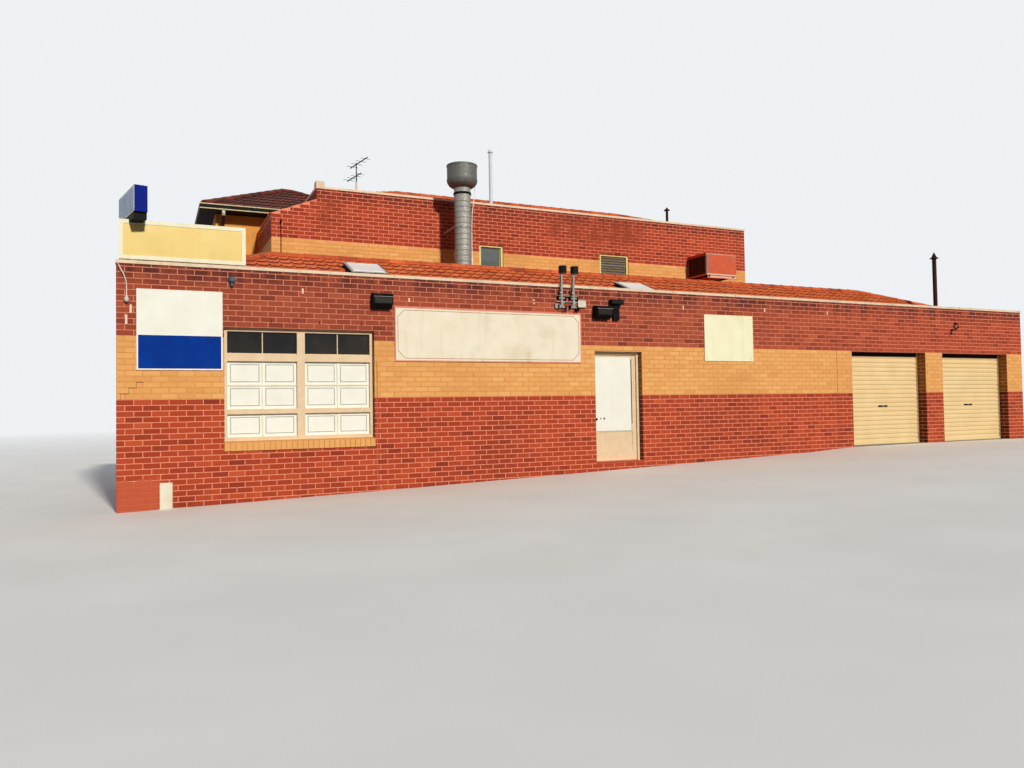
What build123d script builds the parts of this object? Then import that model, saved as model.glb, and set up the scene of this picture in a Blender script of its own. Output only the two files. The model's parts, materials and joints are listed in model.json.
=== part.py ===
from build123d import *
import os
from math import ceil, hypot

# Every size is in millimetres. X runs along the street from the left corner, Y runs into the
# building from the street face, and Z rises from the lowest point of the sloping ground.

# Brickwork
COURSE = 86
WALL = 230

# Street block: one storey, a shop on the left and two garages on the right
LENGTH = 20790
STREET_DEPTH = 5030
BAND_BOTTOM = 1654
BAND_TOP = BAND_BOTTOM + 11 * COURSE
PARAPET_TOP = BAND_TOP + 12.5 * COURSE
PARAPET_RISE = 225
STREET_EAVE = PARAPET_TOP - PARAPET_RISE
STREET_SLOPE = 0.413
END_GUTTER = 430

# Garage openings, set out from the right end
END_PIER = 590
GARAGE_PIER = 590
GARAGE_WIDTH = 2400
GARAGE_2 = LENGTH - END_PIER - GARAGE_WIDTH
GARAGE_1 = GARAGE_2 - GARAGE_PIER - GARAGE_WIDTH

# Floors
SHOP_FLOOR = 389
GARAGE_FLOOR = 464
FLOOR_MARGIN = 210
FLOOR_SPLIT = GARAGE_1 - FLOOR_MARGIN
UPPER_FLOOR = 3200
UPPER_SLAB = 200

# Shop window in the street wall; the corner wall has the same one
WINDOW_LEFT = 1487
WINDOW_WIDTH = 2371
WINDOW_SILL = 994
WINDOW_TOP = 2769
CORNER_WINDOW_START = 1300
SILL_HEIGHT = 150
SILL_PROUD = 12
SILL_FALL = 20

# Window joinery
FRAME = 55
FRAME_DEPTH = 60
FRAME_INSET = 90
MULLION = 125
PANE = 8
LOWER_RAIL = 1412
LOWER_RAIL_HEIGHT = 78
UPPER_RAIL = 2246
UPPER_RAIL_HEIGHT = 113

# Shop door, hinged on the right and opening inward
DOOR_LEFT = 8120
DOOR_WIDTH = 1060
DOOR_HEIGHT = 2112
DOOR_TOP = SHOP_FLOOR + DOOR_HEIGHT
DOOR_RIGHT = DOOR_LEFT + DOOR_WIDTH
DOOR_RECESS = 110
JAMB = 45
STOP = 15
STOP_DEPTH = 28
LEAF = 40
DOOR_GAP = 7
STILE = 95
LOCK_RAIL = 150
LOCK_RAIL_FROM_FLOOR = 560
BOTTOM_RAIL = 190
PANEL = 18
LEAF_FRONT = DOOR_RECESS + STOP_DEPTH + DOOR_GAP
JAMB_DEPTH = STOP_DEPTH + DOOR_GAP + LEAF
LEAF_BACK = LEAF_FRONT + LEAF
LEAF_RIGHT = DOOR_RIGHT - JAMB - DOOR_GAP

# Lock: a plate outside and a knob inside
LOCK_RADIUS = 24
LOCK_FROM_FLOOR = 810
LOCK_PLATE = 10
LOCK_KNOB = 45

# Butt hinges on the inside of the door
HINGE_HEIGHTS = (250, 1030, 1800)
HINGE_X = LEAF_RIGHT + DOOR_GAP / 2
HINGE_OUT = 8
HINGE_Y = LEAF_BACK + HINGE_OUT
KNUCKLE = 7
KNUCKLE_GAP = 1
HINGE_PIN = 3
HINGE_PLAY = 0.05
HINGE_HEIGHT = 100
SLEEVE_HEIGHT = 40
FLAP = 2.5
FLAP_WIDTH = 34

# Roller shutters; a rib is drawn as share of the pitch and height
SHUTTER = 12
RIB_PITCH = 100
RIB_RISE = 14
RIB = ((0.0, RIB_RISE), (0.25, RIB_RISE), (0.4, 0), (0.85, 0))
SHUTTER_SIDE = 60
SHUTTER_HEAD = 40

# House: two storeys behind the street block
HOUSE_LEFT = 2870
YARD_RIGHT = 4760
HOUSE_RIGHT = LENGTH - YARD_RIGHT
HOUSE_DEPTH = 4550
HOUSE_FRONT = STREET_DEPTH - WALL
HOUSE_BACK = HOUSE_FRONT + HOUSE_DEPTH
HOUSE_TOP = 6430
HOUSE_BEAM_BOTTOM = 2700
LEAN_WIDTH = 990
LEAN_TOP = 6190
LEAN_EAVE = 5790
HOUSE_STEP = HOUSE_LEFT + LEAN_WIDTH
HOUSE_PARAPET = 130
UPPER_EAVE = HOUSE_TOP - HOUSE_PARAPET
UPPER_SLOPE = 0.383
BACK_OVERHANG = 400

# Wing: behind the left end of the house
WING_LEFT = 1900
WING_WIDTH = 3880
WING_DEPTH = 3500
WING_SETBACK = 2400
WING_RIGHT = WING_LEFT + WING_WIDTH
WING_FRONT = HOUSE_FRONT + WING_SETBACK
WING_BACK = WING_FRONT + WING_DEPTH
WING_STEP = 60
WING_EAVE = UPPER_EAVE + WING_STEP
WING_SLOPE = 0.49
WING_SIDE_OVERHANG = 270
WING_FRONT_OVERHANG = 390

# Roof build-up, measured straight down; each course of tiles starts one butt above the plane
ROOF = 110
TILE_GAUGE = 345
TILE_BUTT = 28
RIDGE_RADIUS = 80

# Gutters and boxed eaves
GUTTER = 110
GUTTER_WALL = 12
SOFFIT = 20
DOWNPIPE = 40
DOWNPIPE_FROM_CORNER = 150
DOWNPIPE_DROP = 60

# Metal capping on the parapets
CAP = 50
CAP_OVER = 15
SIDE_CAP = 170
SIDE_CAP_WIDTH = 190

# Cooler on the upper wall
COOLER_WIDTH = 1010
COOLER_DEPTH = 790
COOLER_FROM_END = 1000
COOLER_LEFT = HOUSE_RIGHT - COOLER_FROM_END - COOLER_WIDTH
COOLER_BOTTOM = 4930
COOLER_TOP = 5500
COOLER_LID = 30
BRACKET = 40

# Small windows of the upper storey, as left edge and width
HATCH_LEFT = 7770
LOUVRE_TO_COOLER = 2840
SMALL_WINDOWS = ((HATCH_LEFT, 640), (COOLER_LEFT - LOUVRE_TO_COOLER, 890))
SMALL_SILL = 4880
SMALL_TOP = 5460
SMALL_INSET = 30

# Rear windows, set out from the right end of the house
REAR_WIDTH = 1400
REAR_GAP = 2600
REAR_FROM_END = 2030
REAR_2 = HOUSE_RIGHT - REAR_FROM_END - REAR_WIDTH
REAR_1 = REAR_2 - REAR_GAP - REAR_WIDTH
REAR_WINDOWS = ((REAR_1, REAR_WIDTH), (REAR_2, REAR_WIDTH))
REAR_SILL = 4300
REAR_TOP = 5500

# Skylights, as left edge and front edge
SKYLIGHTS = ((3770, 1180), (9590, 920))
SKYLIGHT_SIZE = 680
SKYLIGHT_CURB = 110

# Flue with its cowl
FLUE_X = 7035
FLUE_Y = 4000
FLUE_RADIUS = 190
FLUE_TOP = 6534
FLUE_RING = 14
FLUE_RING_HEIGHT = 40
FLUE_RING_DROP = 150
COWL_RADIUS = 348
COWL_CONE = 190
COWL_HEIGHT = 340
COWL_FLOOR = 60
COWL_BEAD = 10
COWL_BEAD_HEIGHT = 30
SHEET = 12
FLUE_STAY = 5620
STAY_WIDTH = 30
STAY_HEIGHT = 40

# Pipes through the roofs, as X, Y, radius, top and height of the pointed cap
REAR_VENT_FROM_END = 1150
GARAGE_VENT_FROM_END = 2030
HOUSE_VENT = (8620, 6000, 45, 8170, 110)
REAR_VENT = (HOUSE_RIGHT - REAR_VENT_FROM_END, 6900, 40, 7410, 110)
GARAGE_VENT = (LENGTH - GARAGE_VENT_FROM_END, 850, 50, 5090, 180)
VENT_CAP = 25

# Aerial
AERIAL_X = 5050
AERIAL_Y = 6000
AERIAL_TURN = 10
AERIAL_FOOT = 25
AERIAL_FOOT_TOP = 7000
AERIAL_MAST = 12
AERIAL_BOOM = 18
AERIAL_ROD = 8
AERIAL_BOOMS = ((7450, -660, 360), (7170, -280, 550))
AERIAL_RODS = 4
AERIAL_ROD_SHORT = 110
AERIAL_ROD_LONG = 160

# Signs; the corner sign stands on the roof sign
ROOF_SIGN = (30, 1790, 3745, 590)
ROOF_SIGN_DEPTH = 180
SIGN_LIP = 60
SIGN_FACE_INSET = 15
SIGN_FOOT = 80
SIGN_FOOT_FROM_END = 150
SIGN_FOOT_INSET = 40
CORNER_SIGN = (245, -350)
CORNER_SIGN_SIZE = (180, 1050, 385)
CORNER_SIGN_LIFT = 55
CORNER_SIGN_TURN = 12.6
SIGN_ARM = 45
BOARD = 20
LEFT_BOARD = (266, 1470, 2094, 3307)
LONG_BOARD_WIDTH = 3615
LONG_BOARD_GAP = 295
LONG_BOARD_RIGHT = DOOR_LEFT - LONG_BOARD_GAP
LONG_BOARD = (LONG_BOARD_RIGHT - LONG_BOARD_WIDTH, LONG_BOARD_RIGHT, 2261, 3190)
SMALL_BOARD_GAP = 1520
SMALL_BOARD_WIDTH = 1260
SMALL_BOARD_LEFT = DOOR_RIGHT + SMALL_BOARD_GAP
SMALL_BOARD = (SMALL_BOARD_LEFT, SMALL_BOARD_LEFT + SMALL_BOARD_WIDTH, 2335, 3282)

# Wall fittings; the second floodlight, the lamp and the masts keep their place beside the door
FLOODLIGHT_WIDTH = 330
FLOODLIGHT_TO_DOOR = 30
FLOODLIGHTS = ((3810, 3130), (DOOR_LEFT - FLOODLIGHT_TO_DOOR, 3090))
FLOODLIGHT_SIDE = ((0, 40), (0, 230), (-40, 270), (-210, 240), (-190, 70), (-70, 0))
LAMP_LEFT = DOOR_LEFT + 330
LAMP_WIDTH = 270
LAMP_BOTTOM = 3390
LAMP_TOP = 3480
LAMP_DEPTH = 120
LAMP_BOX_DEPTH = 60
LAMP_BOX_BOTTOM = 3090
MAST_TO_DOOR = 460
MAST_GAP = 250
MAST_X = (DOOR_LEFT - MAST_TO_DOOR - MAST_GAP, DOOR_LEFT - MAST_TO_DOOR)
MAST_RADIUS = 24
MAST_BOTTOM = 3290
MAST_TOP = 3930
MAST_HEAD = 75
MAST_HEAD_HEIGHT = 140
MAST_HEAD_SHIFT = 30
MAST_CLIP = 40
MAST_CLIP_HEIGHT = 60


def plan(points, bottom, top):
    """A prism over an outline drawn in X and Y."""
    face = Plane.XY.offset(bottom) * Polygon(*points, align=None)
    return extrude(face, top - bottom)


def along_y(points, start, end):
    """A prism whose outline is drawn in X and Z and which runs from start to end in Y."""
    face = Plane.XZ.offset(-start) * Polygon(*points, align=None)
    return extrude(face, start - end)


def along_x(points, start, end):
    """A prism whose outline is drawn in Y and Z and which runs from start to end in X."""
    face = Plane.YZ.offset(start) * Polygon(*points, align=None)
    return extrude(face, end - start)


def rectangle(left, right, bottom, top):
    return [(left, bottom), (right, bottom), (right, top), (left, top)]


def slab(x0, x1, y0, y1, z0, z1):
    return plan(rectangle(x0, x1, y0, y1), z0, z1)


def post(x, y, radius, bottom, top):
    return Pos(x, y, bottom) * extrude(Circle(radius), top - bottom)


def turned(points, x, y):
    """A shape turned about the upright line at x, y; the points are radius and height."""
    face = Plane.XZ * Polygon(*points, align=None)
    return Pos(x, y, 0) * revolve(face, Axis.Z)


def save(solid, name):
    """Writes one piece, moved so that the middle of the footprint is the origin."""
    centre = Pos(-LENGTH / 2, -WING_BACK / 2, 0)
    export_step(centre * solid, "parts/" + name + ".step")


# Walls


def street_walls():
    window_right = WINDOW_LEFT + WINDOW_WIDTH
    window_wall = slab(0, DOOR_LEFT, 0, WALL, 0, PARAPET_TOP)
    window_wall -= slab(WINDOW_LEFT, window_right, 0, WALL, WINDOW_SILL - SILL_HEIGHT, WINDOW_TOP)
    save(window_wall, "window_wall")

    save(slab(DOOR_LEFT, DOOR_RIGHT, 0, WALL, DOOR_TOP, PARAPET_TOP), "door_head")
    save(slab(DOOR_LEFT, DOOR_RIGHT, 0, WALL, 0, SHOP_FLOOR), "door_step")
    save(slab(DOOR_RIGHT, GARAGE_1, 0, WALL, 0, PARAPET_TOP), "middle_wall")

    garage_wall = slab(GARAGE_1, LENGTH, 0, WALL, 0, PARAPET_TOP)
    for left in (GARAGE_1, GARAGE_2):
        garage_wall -= slab(left, left + GARAGE_WIDTH, 0, WALL, 0, BAND_TOP)
    save(garage_wall, "garage_wall")


def side_walls():
    end = CORNER_WINDOW_START + WINDOW_WIDTH
    corner_wall = slab(0, WALL, WALL, STREET_DEPTH, 0, PARAPET_TOP)
    corner_wall -= slab(0, WALL, CORNER_WINDOW_START, end, WINDOW_SILL - SILL_HEIGHT, WINDOW_TOP)
    save(corner_wall, "corner_wall")
    save(slab(WALL, HOUSE_LEFT, HOUSE_FRONT, STREET_DEPTH, 0, PARAPET_TOP), "yard_wall")
    end_wall = slab(LENGTH - WALL, LENGTH, WALL, STREET_DEPTH, 0, PARAPET_TOP)
    end_wall += slab(HOUSE_RIGHT, LENGTH - WALL, HOUSE_FRONT, STREET_DEPTH, 0, PARAPET_TOP)
    save(end_wall, "end_wall")


def rear_slab(front, bottom, top):
    """A floor between the walls of the house and the wing."""
    house = slab(HOUSE_LEFT + WALL, HOUSE_RIGHT - WALL, front, HOUSE_BACK - WALL, bottom, top)
    wing = slab(WING_LEFT + WALL, WING_RIGHT - WALL, WING_FRONT + WALL, WING_BACK - WALL, bottom, top)
    return house + wing


def floors():
    save(slab(WALL, FLOOR_SPLIT, WALL, HOUSE_FRONT, 0, SHOP_FLOOR), "shop_floor")
    garage = slab(FLOOR_SPLIT, LENGTH - WALL, WALL, HOUSE_FRONT, 0, GARAGE_FLOOR)
    for left in (GARAGE_1, GARAGE_2):
        garage += slab(left, left + GARAGE_WIDTH, 0, WALL, 0, GARAGE_FLOOR)
    save(garage, "garage_floor")
    save(rear_slab(HOUSE_FRONT, 0, SHOP_FLOOR), "rear_floor")
    save(rear_slab(STREET_DEPTH, UPPER_FLOOR - UPPER_SLAB, UPPER_FLOOR), "upper_floor")


def house_walls():
    outline = [
        (HOUSE_LEFT, HOUSE_BEAM_BOTTOM),
        (HOUSE_RIGHT, HOUSE_BEAM_BOTTOM),
        (HOUSE_RIGHT, HOUSE_TOP),
        (HOUSE_STEP, HOUSE_TOP),
        (HOUSE_STEP, LEAN_TOP),
        (HOUSE_LEFT, LEAN_EAVE),
    ]
    street_wall = along_y(outline, HOUSE_FRONT, STREET_DEPTH)
    for left, width in SMALL_WINDOWS:
        street_wall -= slab(left, left + width, HOUSE_FRONT, STREET_DEPTH, SMALL_SILL, SMALL_TOP)
    left = (HOUSE_LEFT + HOUSE_RIGHT) / 2 - WALL
    right = left + 2 * WALL
    street_wall += slab(left, right, HOUSE_FRONT, STREET_DEPTH, SHOP_FLOOR, HOUSE_BEAM_BOTTOM)
    save(street_wall, "house_street_wall")
    save(slab(HOUSE_RIGHT - WALL, HOUSE_RIGHT, STREET_DEPTH, HOUSE_BACK, 0, HOUSE_TOP), "house_right_wall")

    lean = slab(HOUSE_LEFT, HOUSE_LEFT + WALL, STREET_DEPTH, WING_FRONT, 0, LEAN_EAVE - ROOF)
    save(lean, "lean_wall")

    parapet_end = WING_FRONT - WING_FRONT_OVERHANG - GUTTER - GUTTER
    shoulder = UPPER_EAVE - 2 * ROOF
    parapet = [
        (STREET_DEPTH, UPPER_FLOOR),
        (WING_FRONT, UPPER_FLOOR),
        (WING_FRONT, shoulder),
        (parapet_end, shoulder),
        (parapet_end, HOUSE_TOP),
        (STREET_DEPTH, HOUSE_TOP),
    ]
    save(along_x(parapet, HOUSE_STEP, HOUSE_STEP + WALL), "side_parapet")

    back = slab(WING_RIGHT, HOUSE_RIGHT - WALL, HOUSE_BACK - WALL, HOUSE_BACK, 0, UPPER_EAVE - ROOF)
    for left, width in REAR_WINDOWS:
        back -= slab(left, left + width, HOUSE_BACK - WALL, HOUSE_BACK, REAR_SILL, REAR_TOP)
    save(back, "house_back_wall")


def wing_walls():
    top = WING_EAVE - ROOF
    shell = slab(WING_LEFT, WING_RIGHT, WING_FRONT, WING_BACK, 0, top)
    shell -= slab(WING_LEFT + WALL, WING_RIGHT - WALL, WING_FRONT + WALL, WING_BACK - WALL, 0, top)
    ground_opening = slab(HOUSE_LEFT + WALL, WING_RIGHT, WING_FRONT, HOUSE_BACK - WALL, 0, UPPER_FLOOR)
    upper_opening = slab(HOUSE_STEP + WALL, WING_RIGHT, WING_FRONT, HOUSE_BACK - WALL, UPPER_FLOOR, top)
    save(shell - ground_opening - upper_opening, "wing_walls")


# Roofs


def plain_outline(low, high, reach, eave, slope):
    """A hipped roof seen along one side: sloped at both ends and flat along any ridge."""
    ridge = eave + reach * slope
    points = [(low, eave - ROOF), (high, eave - ROOF), (high, eave), (high - reach, ridge)]
    if high - low > 2 * reach:
        points.append((low + reach, ridge))
    points.append((low, eave))
    return points


def stepped_outline(low, high, reach, eave, slope):
    """The same roof with its courses of tiles, each raised by a butt at its lower edge."""
    rows = ceil(hypot(reach, reach * slope) / TILE_GAUGE)
    run = reach / rows
    rise = run * slope
    left = []
    right = []
    for row in range(rows):
        butt = eave + row * rise + TILE_BUTT
        head = eave + (row + 1) * rise
        right += [(high - row * run, butt), (high - (row + 1) * run, head)]
        left += [(low + row * run, butt), (low + (row + 1) * run, head)]
    if high - low <= 2 * reach:
        left.pop()
    return [(low, eave - ROOF), (high, eave - ROOF)] + right + left[::-1]


def hip(outline, bounds, eave, slope):
    """The volume under a hipped roof, with an upright edge as high as the roof is thick."""
    x0, x1, y0, y1 = bounds
    reach = min(x1 - x0, y1 - y0) / 2
    ends = along_y(outline(x0, x1, reach, eave, slope), y0, y1)
    sides = along_x(outline(y0, y1, reach, eave, slope), x0, x1)
    return ends & sides


def round_bar(start, end, radius):
    """A cylinder from one point to another."""
    direction = Vector(*end) - Vector(*start)
    return extrude(Plane(origin=start, z_dir=direction) * Circle(radius), direction.length)


def ridge_tiles(bounds, eave, slope):
    """Round capping tiles along the ridge and up the four hips."""
    x0, x1, y0, y1 = bounds
    reach = min(x1 - x0, y1 - y0) / 2
    ridge = eave + reach * slope
    caps = round_bar((x0 + reach, y0 + reach, ridge), (x1 - reach, y1 - reach, ridge), RIDGE_RADIUS)
    for x, toward_x in ((x0, reach), (x1, -reach)):
        for y, toward_y in ((y0, reach), (y1, -reach)):
            caps += round_bar((x, y, eave), (x + toward_x, y + toward_y, ridge), RIDGE_RADIUS)
    return caps & slab(x0, x1, y0, y1, eave, ridge + RIDGE_RADIUS)


def tiled(bounds, eave, slope):
    """The outer form of a tiled roof."""
    return hip(stepped_outline, bounds, eave, slope) + ridge_tiles(bounds, eave, slope)


def attic(bounds, eave, slope):
    """The space under a roof's build-up."""
    return Pos(0, 0, -ROOF) * hip(plain_outline, bounds, eave, slope)


def street_plan():
    """The street roof stops short of the end wall, where a box gutter runs behind the parapet."""
    return (WALL, LENGTH - WALL - END_GUTTER, WALL, HOUSE_FRONT)


def house_plan():
    return (HOUSE_STEP + WALL, HOUSE_RIGHT - WALL, STREET_DEPTH, HOUSE_BACK + BACK_OVERHANG)


def wing_plan():
    side = WING_SIDE_OVERHANG
    return (WING_LEFT - side, WING_RIGHT + side, WING_FRONT - WING_FRONT_OVERHANG, WING_BACK + side)


def largest(shape):
    return shape.solids().sort_by(SortBy.VOLUME)[-1]


def roofs():
    street = (street_plan(), STREET_EAVE, STREET_SLOPE)
    bottom = STREET_EAVE - ROOF
    inner = LENGTH - WALL
    end_gutter = slab(inner - END_GUTTER, inner, WALL, HOUSE_FRONT, bottom, bottom + SOFFIT)
    save(tiled(*street) - attic(*street) + end_gutter, "street_roof")

    house = (house_plan(), UPPER_EAVE, UPPER_SLOPE)
    wing = (wing_plan(), WING_EAVE, WING_SLOPE)
    rooms = attic(*house) + attic(*wing)
    save(largest(tiled(*house) - rooms), "house_roof")
    save(largest(tiled(*wing) - tiled(*house) - rooms), "wing_roof")

    lean = [
        (HOUSE_LEFT, LEAN_EAVE - ROOF),
        (HOUSE_STEP, LEAN_TOP - ROOF),
        (HOUSE_STEP, LEAN_TOP),
        (HOUSE_LEFT, LEAN_EAVE),
    ]
    save(along_y(lean, STREET_DEPTH, WING_FRONT), "lean_roof")


def skylights():
    boxes = []
    street = tiled(street_plan(), STREET_EAVE, STREET_SLOPE)
    for left, front in SKYLIGHTS:
        low = STREET_EAVE + (front - WALL) * STREET_SLOPE
        high = low + SKYLIGHT_SIZE * STREET_SLOPE
        back = front + SKYLIGHT_SIZE
        side = [(front, low), (back, high), (back, high + SKYLIGHT_CURB), (front, low + SKYLIGHT_CURB)]
        boxes.append(largest(along_x(side, left, left + SKYLIGHT_SIZE) - street))
    save(Compound(boxes), "skylights")


# Eaves and cappings


def ring(x0, x1, y0, y1, width, bottom, top):
    """An upright-sided band that runs round the outside of a rectangle."""
    outer = slab(x0 - width, x1 + width, y0 - width, y1 + width, bottom, top)
    return outer - slab(x0, x1, y0, y1, bottom, top)


def eaves():
    x0, x1, y0, y1 = wing_plan()
    bottom = WING_EAVE - ROOF
    left = x0 - GUTTER
    trough = ring(x0, x1, y0, y1, GUTTER, bottom, WING_EAVE)
    channel = ring(x0 - GUTTER_WALL, x1 + GUTTER_WALL, y0 - GUTTER_WALL, y1 + GUTTER_WALL,
                   GUTTER - 2 * GUTTER_WALL, bottom + GUTTER_WALL, WING_EAVE)
    soffit = slab(left, x1 + GUTTER, y0 - GUTTER, y1 + GUTTER, bottom - SOFFIT, bottom)
    soffit -= slab(WING_LEFT, WING_RIGHT, WING_FRONT, WING_BACK, bottom - SOFFIT, bottom)
    back = HOUSE_BACK + BACK_OVERHANG
    clear_of_house = slab(HOUSE_STEP, x1 + GUTTER, y0 - GUTTER, back + GUTTER, 0, HOUSE_TOP)
    save(trough - channel + soffit - clear_of_house, "wing_eaves")

    low = UPPER_EAVE - ROOF
    start = x1 + GUTTER
    end = HOUSE_RIGHT - WALL
    rear = slab(start, end, back, back + GUTTER, low, UPPER_EAVE)
    rear -= slab(start, end, back + GUTTER_WALL, back + GUTTER - GUTTER_WALL, low + GUTTER_WALL, UPPER_EAVE)
    rear += slab(start, end, HOUSE_BACK, back + GUTTER, low - SOFFIT, low)
    save(rear, "rear_eaves")


def downpipe():
    """A round pipe that drops from the gutter, sets back under the eaves and runs down the wall."""
    x = WING_LEFT + DOWNPIPE_FROM_CORNER
    front = WING_FRONT - WING_FRONT_OVERHANG - GUTTER / 2
    wall = WING_FRONT - DOWNPIPE
    top = WING_EAVE - ROOF - SOFFIT
    drop = top - DOWNPIPE_DROP
    back = drop - (wall - front)
    path = FilletPolyline((x, front, top), (x, front, drop), (x, wall, back), (x, wall, 0), radius=DOWNPIPE)
    pipe = sweep(Pos(x, front, top) * Circle(DOWNPIPE), path)
    save(pipe, "downpipe")


def cappings():
    low = PARAPET_TOP
    high = PARAPET_TOP + CAP
    over = CAP_OVER
    save(slab(-over, LENGTH + over, -over, WALL + over, low, high), "street_capping")

    corner = slab(-over, WALL + over, WALL + over, STREET_DEPTH + over, low, high)
    corner += slab(WALL + over, HOUSE_LEFT, HOUSE_FRONT - over, STREET_DEPTH + over, low, high)
    save(corner, "corner_capping")

    inner = LENGTH - WALL - over
    end = slab(inner, LENGTH + over, WALL + over, STREET_DEPTH + over, low, high)
    end += slab(HOUSE_RIGHT, inner, HOUSE_FRONT - over, STREET_DEPTH + over, low, high)
    save(end, "end_capping")

    bottom = HOUSE_TOP
    top = HOUSE_TOP + CAP
    side_right = HOUSE_STEP - over + SIDE_CAP_WIDTH
    side_end = WING_FRONT - WING_FRONT_OVERHANG - GUTTER - GUTTER
    house = slab(side_right, HOUSE_RIGHT + over, HOUSE_FRONT - over, STREET_DEPTH, bottom, top)
    house += slab(HOUSE_RIGHT - WALL, HOUSE_RIGHT + over, STREET_DEPTH, HOUSE_BACK, bottom, top)
    house += slab(HOUSE_STEP - over, HOUSE_STEP + WALL, STREET_DEPTH, side_end, bottom, top)
    block_top = HOUSE_TOP + SIDE_CAP
    house += slab(HOUSE_STEP - over, side_right, HOUSE_FRONT - over, STREET_DEPTH, bottom, block_top)
    save(house, "house_capping")


# Windows and door


def lights(left, right, bottom, top, columns, rows, front):
    """A frame with its panes' openings cut through; columns and rows are pairs of edges."""
    frame = slab(left, right, front, front + FRAME_DEPTH, bottom, top)
    for x0, x1 in columns:
        for z0, z1 in rows:
            frame -= slab(x0, x1, front, front + FRAME_DEPTH, z0, z1)
    return frame


def shop_lights():
    right = WINDOW_LEFT + WINDOW_WIDTH
    middle = (WINDOW_LEFT + right) / 2
    columns = [(WINDOW_LEFT + FRAME, middle - MULLION / 2), (middle + MULLION / 2, right - FRAME)]
    rows = [
        (WINDOW_SILL + FRAME, LOWER_RAIL),
        (LOWER_RAIL + LOWER_RAIL_HEIGHT, UPPER_RAIL),
        (UPPER_RAIL + UPPER_RAIL_HEIGHT, WINDOW_TOP - FRAME),
    ]
    return lights(WINDOW_LEFT, right, WINDOW_SILL, WINDOW_TOP, columns, rows, FRAME_INSET)


def shop_pane():
    right = WINDOW_LEFT + WINDOW_WIDTH
    front = FRAME_INSET + FRAME_DEPTH
    return slab(WINDOW_LEFT + FRAME / 2, right - FRAME / 2, front, front + PANE, WINDOW_SILL, WINDOW_TOP)


def shop_sill():
    """Bricks on edge, with a top that falls to the street."""
    bottom = WINDOW_SILL - SILL_HEIGHT
    section = [
        (-SILL_PROUD, bottom),
        (WALL, bottom),
        (WALL, WINDOW_SILL),
        (FRAME_INSET, WINDOW_SILL),
        (-SILL_PROUD, WINDOW_SILL - SILL_FALL),
    ]
    return along_x(section, WINDOW_LEFT, WINDOW_LEFT + WINDOW_WIDTH)


def shop_windows():
    """The street window, and the same window turned round the corner."""
    corner = Pos(0, CORNER_WINDOW_START + WINDOW_WIDTH, 0) * Rot(0, 0, -90) * Pos(-WINDOW_LEFT, 0, 0)
    pieces = {"frame": shop_lights(), "pane": shop_pane(), "sill": shop_sill()}
    for name, solid in pieces.items():
        save(solid, "shop_window_" + name)
        save(corner * solid, "corner_window_" + name)


def small_windows():
    frames = []
    panes = []
    for left, width in SMALL_WINDOWS:
        right = left + width
        column = [(left + FRAME, right - FRAME)]
        row = [(SMALL_SILL + FRAME, SMALL_TOP - FRAME)]
        front = HOUSE_FRONT + SMALL_INSET
        frames.append(lights(left, right, SMALL_SILL, SMALL_TOP, column, row, front))
        back = front + FRAME_DEPTH
        panes.append(slab(left, right, back, back + PANE, SMALL_SILL, SMALL_TOP))
    for left, width in REAR_WINDOWS:
        right = left + width
        middle = left + width / 2
        columns = [(left + FRAME, middle - FRAME / 2), (middle + FRAME / 2, right - FRAME)]
        row = [(REAR_SILL + FRAME, REAR_TOP - FRAME)]
        front = HOUSE_BACK - FRAME_INSET - FRAME_DEPTH
        frames.append(lights(left, right, REAR_SILL, REAR_TOP, columns, row, front))
        panes.append(slab(left, right, front - PANE, front, REAR_SILL, REAR_TOP))
    save(Compound(frames), "small_window_frames")
    save(Compound(panes), "small_window_panes")


def hinge_fixed(z):
    """The jamb's half of one hinge: flap, outer knuckles and pin."""
    x0 = DOOR_RIGHT - JAMB - FLAP
    low = z - HINGE_HEIGHT / 2
    high = z + HINGE_HEIGHT / 2
    gap = SLEEVE_HEIGHT / 2 + KNUCKLE_GAP
    half = slab(x0, x0 + FLAP, LEAF_BACK - FLAP_WIDTH, LEAF_BACK, low, high)
    for bottom, top in ((low, z - gap), (z + gap, high)):
        half += post(HINGE_X, HINGE_Y, KNUCKLE, bottom, top)
        half += slab(x0, x0 + FLAP, LEAF_BACK, HINGE_Y, bottom, top)
    return half + post(HINGE_X, HINGE_Y, HINGE_PIN, low, high)


def hinge_moving(z):
    """The leaf's half: flap and middle sleeve."""
    low = z - HINGE_HEIGHT / 2
    high = z + HINGE_HEIGHT / 2
    bottom = z - SLEEVE_HEIGHT / 2
    top = z + SLEEVE_HEIGHT / 2
    half = slab(LEAF_RIGHT, LEAF_RIGHT + FLAP, LEAF_BACK - FLAP_WIDTH, LEAF_BACK, low, high)
    half += slab(LEAF_RIGHT, LEAF_RIGHT + FLAP, LEAF_BACK, HINGE_Y, bottom, top)
    half += post(HINGE_X, HINGE_Y, KNUCKLE, bottom, top)
    return half - post(HINGE_X, HINGE_Y, HINGE_PIN + HINGE_PLAY, bottom, top)


def portal(left, right, bottom, top, width):
    """Jambs and head seen from the street, open at the floor."""
    return [
        (left, bottom),
        (left + width, bottom),
        (left + width, top - width),
        (right - width, top - width),
        (right - width, bottom),
        (right, bottom),
        (right, top),
        (left, top),
    ]


def door_frame():
    jambs = portal(DOOR_LEFT, DOOR_RIGHT, SHOP_FLOOR, DOOR_TOP, JAMB)
    stops = portal(DOOR_LEFT, DOOR_RIGHT, SHOP_FLOOR, DOOR_TOP, JAMB + STOP)
    frame = along_y(jambs, DOOR_RECESS, DOOR_RECESS + JAMB_DEPTH)
    frame += along_y(stops, DOOR_RECESS, DOOR_RECESS + STOP_DEPTH)
    for height in HINGE_HEIGHTS:
        frame += hinge_fixed(SHOP_FLOOR + height)
    save(frame, "door_frame")


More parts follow.
